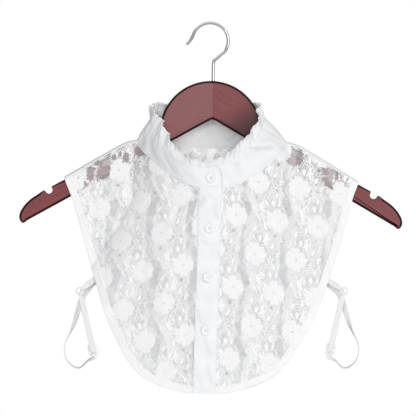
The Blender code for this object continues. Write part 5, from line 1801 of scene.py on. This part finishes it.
def straps(side_name, sign, ring_out_by, slider_out_by, up_shift):
    rx, ry, rz = RING_AT
    sx, sy, sz = SLIDER_AT
    rx, sx, rz, sz = rx + ring_out_by, sx + slider_out_by, rz + up_shift, sz + up_shift
    ring("ring_" + side_name, sign * rx, ry, rz, RING_R, RING_WIRE, FITTING)

    # Doubled run, from the slider's middle bar up, round the ring and down.
    fall = np.array([sx - rx, sz - rz])
    fall /= np.linalg.norm(fall)
    low = np.array([rx, rz]) + fall * (RING_R - 0.45)
    turn_r = RING_WIRE + 0.65 + GAP + STRAP_T / 2
    path = []

    def add(at, y, width, flat=0.0):
        path.append((sign * at[0], y, at[1], flat, width))

    middle = np.array([sx, sz])
    front, rear = sy - 1.9, sy + 0.9
    under_bind = BIND_T / 2 + GAP + STRAP_T / 2
    add(middle + fall * 1.9, sy - 1.75, STRAP_W)
    add(middle - fall * 2.0, sy - 2.3, STRAP_W)
    add(middle - fall * 6.0, sy - 3.35, STRAP_W)
    add(middle - fall * 12.0, front - 0.6, STRAP_W)
    long = float(np.dot(low - middle, -fall))
    for share in (0.35, 0.6, 0.8):
        add(middle - fall * long * share, front - 0.2, STRAP_W)
    add(low + fall * 4.6, ry - 1.9, 5.4)
    for angle in (205, 180, 155, 130, 105, 90, 75, 50, 25, 0, -25):
        a = math.radians(angle)
        add(low - fall * turn_r * math.sin(a), ry + turn_r * math.cos(a), 2.9)
    add(low + fall * 4.6, ry + 1.7, 5.4)
    for share in (0.8, 0.6, 0.35):
        add(middle - fall * long * share, rear + 0.1, STRAP_W)
    add(middle - fall * 11.0, sy - 0.2, STRAP_W)
    add(middle - fall * 5.2, sy - 1.5, STRAP_W)
    add(middle - fall * 2.6, sy + 0.2, STRAP_W)
    add(middle, sy + 1.75, STRAP_W)
    add(middle + fall * 2.6, sy + 0.2, STRAP_W)
    add(middle + fall * 5.2, sy - 2.4, STRAP_W)
    add(middle + fall * 6.6, sy - 2.6, STRAP_W)
    add(middle + fall * 8.0, sy - 2.5, 5.8, 4.0 * sign)
    for out, y, z, flat, width in LOOP:
        share = min(1.0, (RING_AT[2] - z) / (RING_AT[2] - SLIDER_AT[2]))
        out += lerp(ring_out_by, slider_out_by, share)
        path.append((sign * out, y, z + up_shift, -sign * flat, width))
    edge_z = -300.5 + up_shift
    edge_x = float(np.interp(edge_z, outline_points()[:, 1], outline_points()[:, 0]))
    for out, up, clear in ((3.6, -4.4, 1.6), (-0.8, 0.4, 0.9), (-5.4, 4.6, 0.9)):
        x, z = edge_x + out, edge_z + up
        y = float(cloth_y("back", sign * min(x, edge_x), z)) - under_bind - clear
        path.append((sign * x, y, z, 0.0, STRAP_W))
    band("strap_" + side_name, path, ELASTIC)

    # Tab from the front's edge out to the ring, round it and back.
    edge_z = -298.3 + up_shift
    edge_x = float(np.interp(edge_z, outline_points()[:, 1], outline_points()[:, 0]))
    way = np.array([edge_x - rx, edge_z - rz])
    way /= np.linalg.norm(way)
    near = np.array([rx, rz]) + way * (RING_R - 0.45)
    path = []
    # "way" runs from the ring to the edge; the tab starts under the bound edge.
    for inward in (7.0, 2.0, -2.0):
        at = np.array([edge_x, edge_z]) + way * inward
        y = float(cloth_y("front", sign * min(at[0], edge_x), at[1]))
        add(at, y + under_bind + 1.6, STRAP_W)
    add(near + way * 7.5, ry + 2.0, STRAP_W)
    add(near + way * 4.0, ry + 1.9, 5.2)
    for angle in (-25, 0, 25, 50, 75, 90, 105, 130, 155, 180, 205):
        a = math.radians(angle)
        add(near - way * turn_r * math.sin(a), ry + turn_r * math.cos(a), 2.9)
    add(near + way * 4.0, ry - 1.5, 5.2)
    add(near + way * 7.0, ry - 0.35, STRAP_W)
    add(near + way * 10.0, ry - 0.1, STRAP_W)
    band("strap_tab_" + side_name, path, ELASTIC)

    # Slider: a flat frame with a middle bar, moulded with rounded rails.
    wide, tall, bar, rail, thick = 11.4, 12.4, 1.5, 1.7, 1.3
    across = np.array([-fall[1], fall[0]])
    window = (tall - 3 * bar) / 2

    def box(name, half_a, half_b, centre_b, half_y, y0=0.0):
        points = []
        for y in (-half_y, half_y):
            for a, b in ((-1, -1), (1, -1), (1, 1), (-1, 1)):
                at = middle + across * a * half_a + fall * (centre_b + b * half_b)
                points.append((sign * at[0], sy + y0 + y, at[1]))
        faces = [(0, 1, 2, 3), (7, 6, 5, 4)]
        faces += [(i, 4 + i, 4 + (i + 1) % 4, (i + 1) % 4) for i in range(4)]
        if sign < 0:
            faces = [f[::-1] for f in faces]
        return mesh_of(name, points, faces, FITTING, angle=30)

    body = box("slider_" + side_name + "_coated", wide / 2, tall / 2, 0.0, thick / 2)
    for k in (-1, 1):
        hole = box("slider_window", wide / 2 - rail, window / 2, k * (bar + window) / 2, 4.0)
        bit = body.modifiers.new("window", "BOOLEAN")
        bit.object, bit.operation, bit.solver = hole, "DIFFERENCE", "EXACT"
        applied(body)
        bpy.data.objects.remove(hole, do_unlink=True)
    rounding = body.modifiers.new("edges", "BEVEL")
    rounding.width = 0.45 * MM
    rounding.segments = 4
    rounding.limit_method = "ANGLE"
    rounding.harden_normals = True
    applied(body)
    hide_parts("slider_" + side_name)


for row in STRAPS:
    straps(*row)

# Bar tacks where the tabs and the loops are sewn down.
for side_name, sign, ring_by, slider_by, up_by in STRAPS:
    edge_z = -298.3 + up_by
    edge_x = float(np.interp(edge_z, outline_points()[:, 1], outline_points()[:, 0]))
    for back in (False, True):
        which = "back" if back else "front"
        zz = edge_z - 3.4 + np.linspace(0.0, 6.4, 12)
        xx = sign * (edge_x - 3.2) + 0 * zz + (aside_of(np.array([sign * edge_x]), np.array([edge_z]))[0])
        p = on_cloth(which, xx, zz, BIND_T / 2 + 0.04 + 0 * zz)
        nn = np.tile(np.array([[0.0, 1.0 if back else -1.0, 0.0]]), (len(zz), 1))
        stitch_run(p, nn, 1.3, 1.15)

STITCHES.piece("machine_stitches", THREAD)


# --------------------------------------------------------------------- hanger
def board_outline(sign):
    """Outline of one half of the board, with its trouser notch cut in."""
    hump_z = HUMP_TOP - HUMP_R
    middle = HUMP_X * sign
    start = math.degrees(math.acos((0.0 - middle) / HUMP_R))
    outline = arc(middle, hump_z, HUMP_R, start, 3.5, 54)
    foot, corner = outline[-1], outline[-1][0] + 7.0
    blend = [(foot[0], foot[1]), (foot[0] + 0.25, foot[1] - 2.2), (foot[0] + 1.6, arm_top(corner) + 2.6), (foot[0] + 3.8, arm_top(corner) + 1.05), (corner, arm_top(corner))]
    run = np.array(blend)
    t = np.r_[0.0, np.cumsum(np.hypot(*np.diff(run, axis=0).T))]
    at = np.linspace(0.0, t[-1], 12)[1:]
    outline += list(zip(spline(np.c_[t, run[:, 0]], at), spline(np.c_[t, run[:, 1]], at)))
    lean = math.atan(ARM_TOP_SLOPE)
    near_x = NOTCH_X - (NOTCH_R + 1.2) * math.cos(lean)
    outline += [(x, arm_top(x)) for x in np.linspace(corner + 6.0, near_x - 1.0, 24)]
    before = len(outline)
    slot = [(-NOTCH_R - 0.9, 0.0), (-NOTCH_R - 0.25, -0.5), (-NOTCH_R, -1.4)]
    slot += arc(0.0, -NOTCH_DEPTH + NOTCH_R, NOTCH_R, 180.0, 360.0, 17)
    slot += [(NOTCH_R, -1.4), (NOTCH_R + 0.25, -0.5), (NOTCH_R + 0.9, 0.0)]
    for a, b in slot:
        outline.append(
            (
                NOTCH_X + a * math.cos(lean) + b * math.sin(lean),
                arm_top(NOTCH_X) - a * math.sin(lean) + b * math.cos(lean),
            )
        )
    gentle = (before - 1, len(outline) + 1)
    tip = np.array([(196.5, arm_top(196.5))] + TIP)
    tip = np.concatenate([tip, [(218.0, arm_low(218.0)), (212.0, arm_low(212.0))]])
    t = np.r_[0.0, np.cumsum(np.hypot(*np.diff(tip, axis=0).T))]
    at = np.linspace(0.0, t[-1], 46)
    outline += list(zip(spline(np.c_[t, tip[:, 0]], at), spline(np.c_[t, tip[:, 1]], at)))
    outline += [(x, arm_low(x)) for x in np.linspace(206.0, 6.0, 36)]
    outline += [(3.0, arm_low(3.0) - 0.15), (0.0, arm_low(0.0) - 0.7)]
    outline[0] = (0.0, outline[0][1])
    rim = np.ones(len(outline))
    rim[gentle[0] : gentle[1]] = 0.3
    at = np.array(outline)
    run = np.diff(at, axis=0)
    step = np.hypot(run[:, 0], run[:, 1])
    turn = np.unwrap(np.arctan2(run[:, 1], run[:, 0]))
    bend = np.r_[0.0, np.abs(np.diff(turn)) / (0.5 * (step[1:] + step[:-1]) + 1e-6), 0.0]
    bend = np.convolve(np.pad(bend, 2, "edge"), (0.1, 0.2, 0.4, 0.2, 0.1), "valid")
    tip_rim = np.clip(0.55 / (3.3 * bend + 1e-6), 0.12, 1.0)
    rim = np.where(np.abs(at[:, 0]) > 196.0, np.minimum(rim, tip_rim), rim)
    rim = np.convolve(np.pad(rim, 2, "edge"), (0.15, 0.2, 0.3, 0.2, 0.15), "valid")
    return [(sign * x, z) for x, z in outline], rim


def fine_board(name, sign):
    outline, rim = board_outline(sign)
    outline = np.array(outline)
    if sign < 0:
        outline, rim = outline[::-1], rim[::-1]
    count = len(outline)
    # an inset for each ring of the rounded rim, measured along the outline's own inward normal
    step = np.roll(outline, -1, axis=0) - np.roll(outline, 1, axis=0)
    inward = np.stack([step[:, 1], -step[:, 0]], -1)
    inward /= np.linalg.norm(inward, axis=1, keepdims=True)
    area = 0.5 * np.sum(outline[:, 0] * np.roll(outline[:, 1], -1) - np.roll(outline[:, 0], -1) * outline[:, 1])
    if area > 0:
        inward = -inward
    joint = np.abs(outline[:, 0]) < 0.5
    inward[joint] = np.sign(outline[joint, 1:2] - HUMP_TOP + 30.0) * np.array([[0.0, -1.0]])
    inward *= rim[:, None]
    rings = []
    turn = np.radians(np.linspace(0.0, 90.0, 8))
    levels = [(3.3, BOARD_HALF)] + [
        (BOARD_EDGE * (1 - math.sin(a)), BOARD_HALF - BOARD_EDGE + BOARD_EDGE * math.cos(a)) for a in turn
    ]
    # levels run from the flat face to the edge's middle
    insets = []
    for inset, y in [(i, -y) for i, y in levels] + [(i, y) for i, y in levels[::-1]]:
        at = outline + inward * inset
        insets.append(np.full(count, inset))
        rings.append(np.stack([at[:, 0], np.full(count, y), at[:, 1]], -1))
    points = np.concatenate(rings)
    n = len(rings)
    i, j = np.arange(n - 1)[:, None], np.arange(count)[None, :]
    k = (j + 1) % count
    side = np.stack([i * count + j, i * count + k, (i + 1) * count + k, (i + 1) * count + j], -1).reshape(-1, 4).tolist()
    # the flat faces have corners of their own, so that they shade flat
    points = np.concatenate([points, rings[0], rings[-1]])
    insets += [insets[0], insets[-1]]
    caps = [tuple(range(n * count, (n + 1) * count)), tuple(range((n + 1) * count, (n + 2) * count))]
    made = mesh_of(name, points, side + caps, WOOD, None, {"inset": np.concatenate(insets)}, angle=0)
    mesh = made.data
    bm = bmesh.new()
    bm.from_mesh(mesh)
    flat = [f for f in bm.faces if len(f.verts) > 4]
    bmesh.ops.recalc_face_normals(bm, faces=[f for f in bm.faces if len(f.verts) == 4])
    bm.normal_update()
    bmesh.ops.reverse_faces(bm, faces=[f for f in flat if f.normal.y * f.calc_center_median().y < 0])
    bmesh.ops.triangulate(bm, faces=flat, ngon_method="BEAUTY")
    bm.to_mesh(mesh)
    bm.free()
    mesh.shade_smooth()
    return made


board_right = fine_board("mahogany_right", 1.0)
board_left = fine_board("mahogany_left", -1.0)
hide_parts("hanger_right")
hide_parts("hanger_left")

# ----------------------------------------------------------------------- hook
line = np.array(hook_path())
t = np.r_[0.0, np.cumsum(np.hypot(*np.diff(line, axis=0).T))]
at = np.linspace(0.0, t[-1], 260)
smooth_line = np.stack([spline(np.c_[t, line[:, 0]], at), 0 * at, spline(np.c_[t, line[:, 1]], at)], -1)
points, faces = tube(smooth_line, WIRE_R, 28)
wire = mesh_of("hook_wire", points, faces, CHROME, angle=0)
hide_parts("hook")
collar_points, collar_faces = tube([(0.0, 0.0, HUMP_TOP - 2.2), (0.0, 0.0, HUMP_TOP + 0.25)], 2.35, 28, caps=False)
# painted shade: a near-black ring round the shank where it goes into the wood, for the hole's dark gap and its shadow
mesh_of("shank_hole_shade", collar_points, collar_faces, WOOD, None, {"inset": np.zeros(len(collar_points))})

# ---------------------------------------------------------- floor, light, view
floor_points, floor_faces = [(0.0, 0.0, -620.0)], []
for k in range(64):
    a = 2 * math.pi * k / 64
    floor_points.append((1200.0 * math.cos(a), 1200.0 * math.sin(a), -620.0))
    floor_faces.append((0, 1 + k, 1 + (k + 1) % 64))
pale = Paint("pale_floor", 0.9, specular=0.1)
tone = pale.ramp(pale.noise(pale.place(), 3.0), (0.3, (0.86, 0.86, 0.86)), (0.7, (0.9, 0.9, 0.9)))
floor_mesh = bpy.data.meshes.new("floor")
floor_mesh.from_pydata([tuple(v * MM for v in p) for p in floor_points], [], floor_faces)
floor_mesh.materials.append(pale.done(Base_Color=tone))
floor = bpy.data.objects.new("floor", floor_mesh)
bpy.context.scene.collection.objects.link(floor)

world = bpy.data.worlds.new("studio")
bpy.context.scene.world = world
world.use_nodes = True
tree = world.node_tree
tree.nodes.clear()


def world_node(kind, out=0, props=None, **inputs):
    made = tree.nodes.new(kind)
    for key, value in (props or {}).items():
        setattr(made, key, value)
    for key, value in inputs.items():
        socket = made.inputs[int(key[2:])]
        if hasattr(value, "links"):
            tree.links.new(value, socket)
        else:
            socket.default_value = value
    return made.outputs[out]


way = world_node("ShaderNodeTexCoord", 0)
apart = tree.nodes.new("ShaderNodeSeparateXYZ")
tree.links.new(way, apart.inputs[0])
wx, wy, wz = apart.outputs
maths = lambda what, a, b=0.0: world_node("ShaderNodeMath", 0, {"operation": what}, in0=a, in1=b)
# soft room light: brighter from above, the right and the front
up = maths("MULTIPLY", wz, 0.14)
aside = maths("MULTIPLY", wx, 0.16)
front = maths("MULTIPLY", wy, -0.10)
room = maths("ADD", maths("ADD", up, aside), maths("ADD", front, 0.27))
# what polished things mirror: two dark screens beside the camera
facing = maths("MULTIPLY", wy, -1.0)
screen = world_node("ShaderNodeMapRange", 0, {"interpolation_type": "SMOOTHSTEP"}, in0=maths("ABSOLUTE", maths("SUBTRACT", maths("ABSOLUTE", wx), 0.86)), in1=0.03, in2=0.16, in3=0.3, in4=1.15)
level = world_node("ShaderNodeMapRange", 0, {"interpolation_type": "SMOOTHSTEP"}, in0=wz, in1=0.35, in2=0.8, in3=0.25, in4=1.0)
mirrored = maths("MULTIPLY", screen, maths("ADD", maths("MULTIPLY", level, 0.6), 0.35))
rays = tree.nodes.new("ShaderNodeLightPath")
glossy = world_node("ShaderNodeMix", 0, None, in0=rays.outputs["Is Glossy Ray"], in2=room, in3=mirrored)
shown = world_node("ShaderNodeMix", 0, None, in0=rays.outputs["Is Camera Ray"], in2=glossy, in3=1.0)
back_light = tree.nodes.new("ShaderNodeBackground")
back_light.inputs["Color"].default_value = (1.0, 1.0, 1.0, 1.0)
tree.links.new(shown, back_light.inputs["Strength"])
end = tree.nodes.new("ShaderNodeOutputWorld")
tree.links.new(back_light.outputs[0], end.inputs[0])


def softbox(name, at, aim, size, power):
    light = bpy.data.lights.new(name, "AREA")
    light.shape, light.size, light.energy = "DISK", size, power
    lamp = bpy.data.objects.new(name, light)
    lamp.location = at
    lamp.rotation_euler = (Vector(aim) - Vector(at)).to_track_quat("-Z", "Y").to_euler()
    bpy.context.scene.collection.objects.link(lamp)
    return lamp


softbox("key", (1.05, -2.2, 0.25), (0.0, 0.0, -0.22), 1.1, 14.0)
# a soft light from where the photograph was taken; polished things don't mirror it
fill = softbox("fill", (-0.15, -3.2, -0.05), (0.0, 0.0, -0.2), 1.4, 46.0)
fill.visible_glossy = False
# and one from behind, for the back of the garment
behind = softbox("behind", (0.9, 2.6, 0.5), (0.0, 0.0, -0.2), 1.4, 26.0)
behind.visible_glossy = False

camera = bpy.data.cameras.new("camera")
camera.sensor_width = 36.0
camera.lens = 36.0 * 6.0 / 0.4821
camera.clip_end = 30.0
eye = bpy.data.objects.new("camera", camera)
bpy.context.scene.collection.objects.link(eye)
eye.matrix_world = (
    Matrix.Translation((0.0006, -6.0, -0.2128))
    @ Matrix.Rotation(math.radians(90.0), 4, "X")
    @ Matrix.Rotation(math.radians(0.95), 4, "Z")
)
bpy.context.scene.camera = eye
bpy.context.scene.view_settings.view_transform = "Standard"
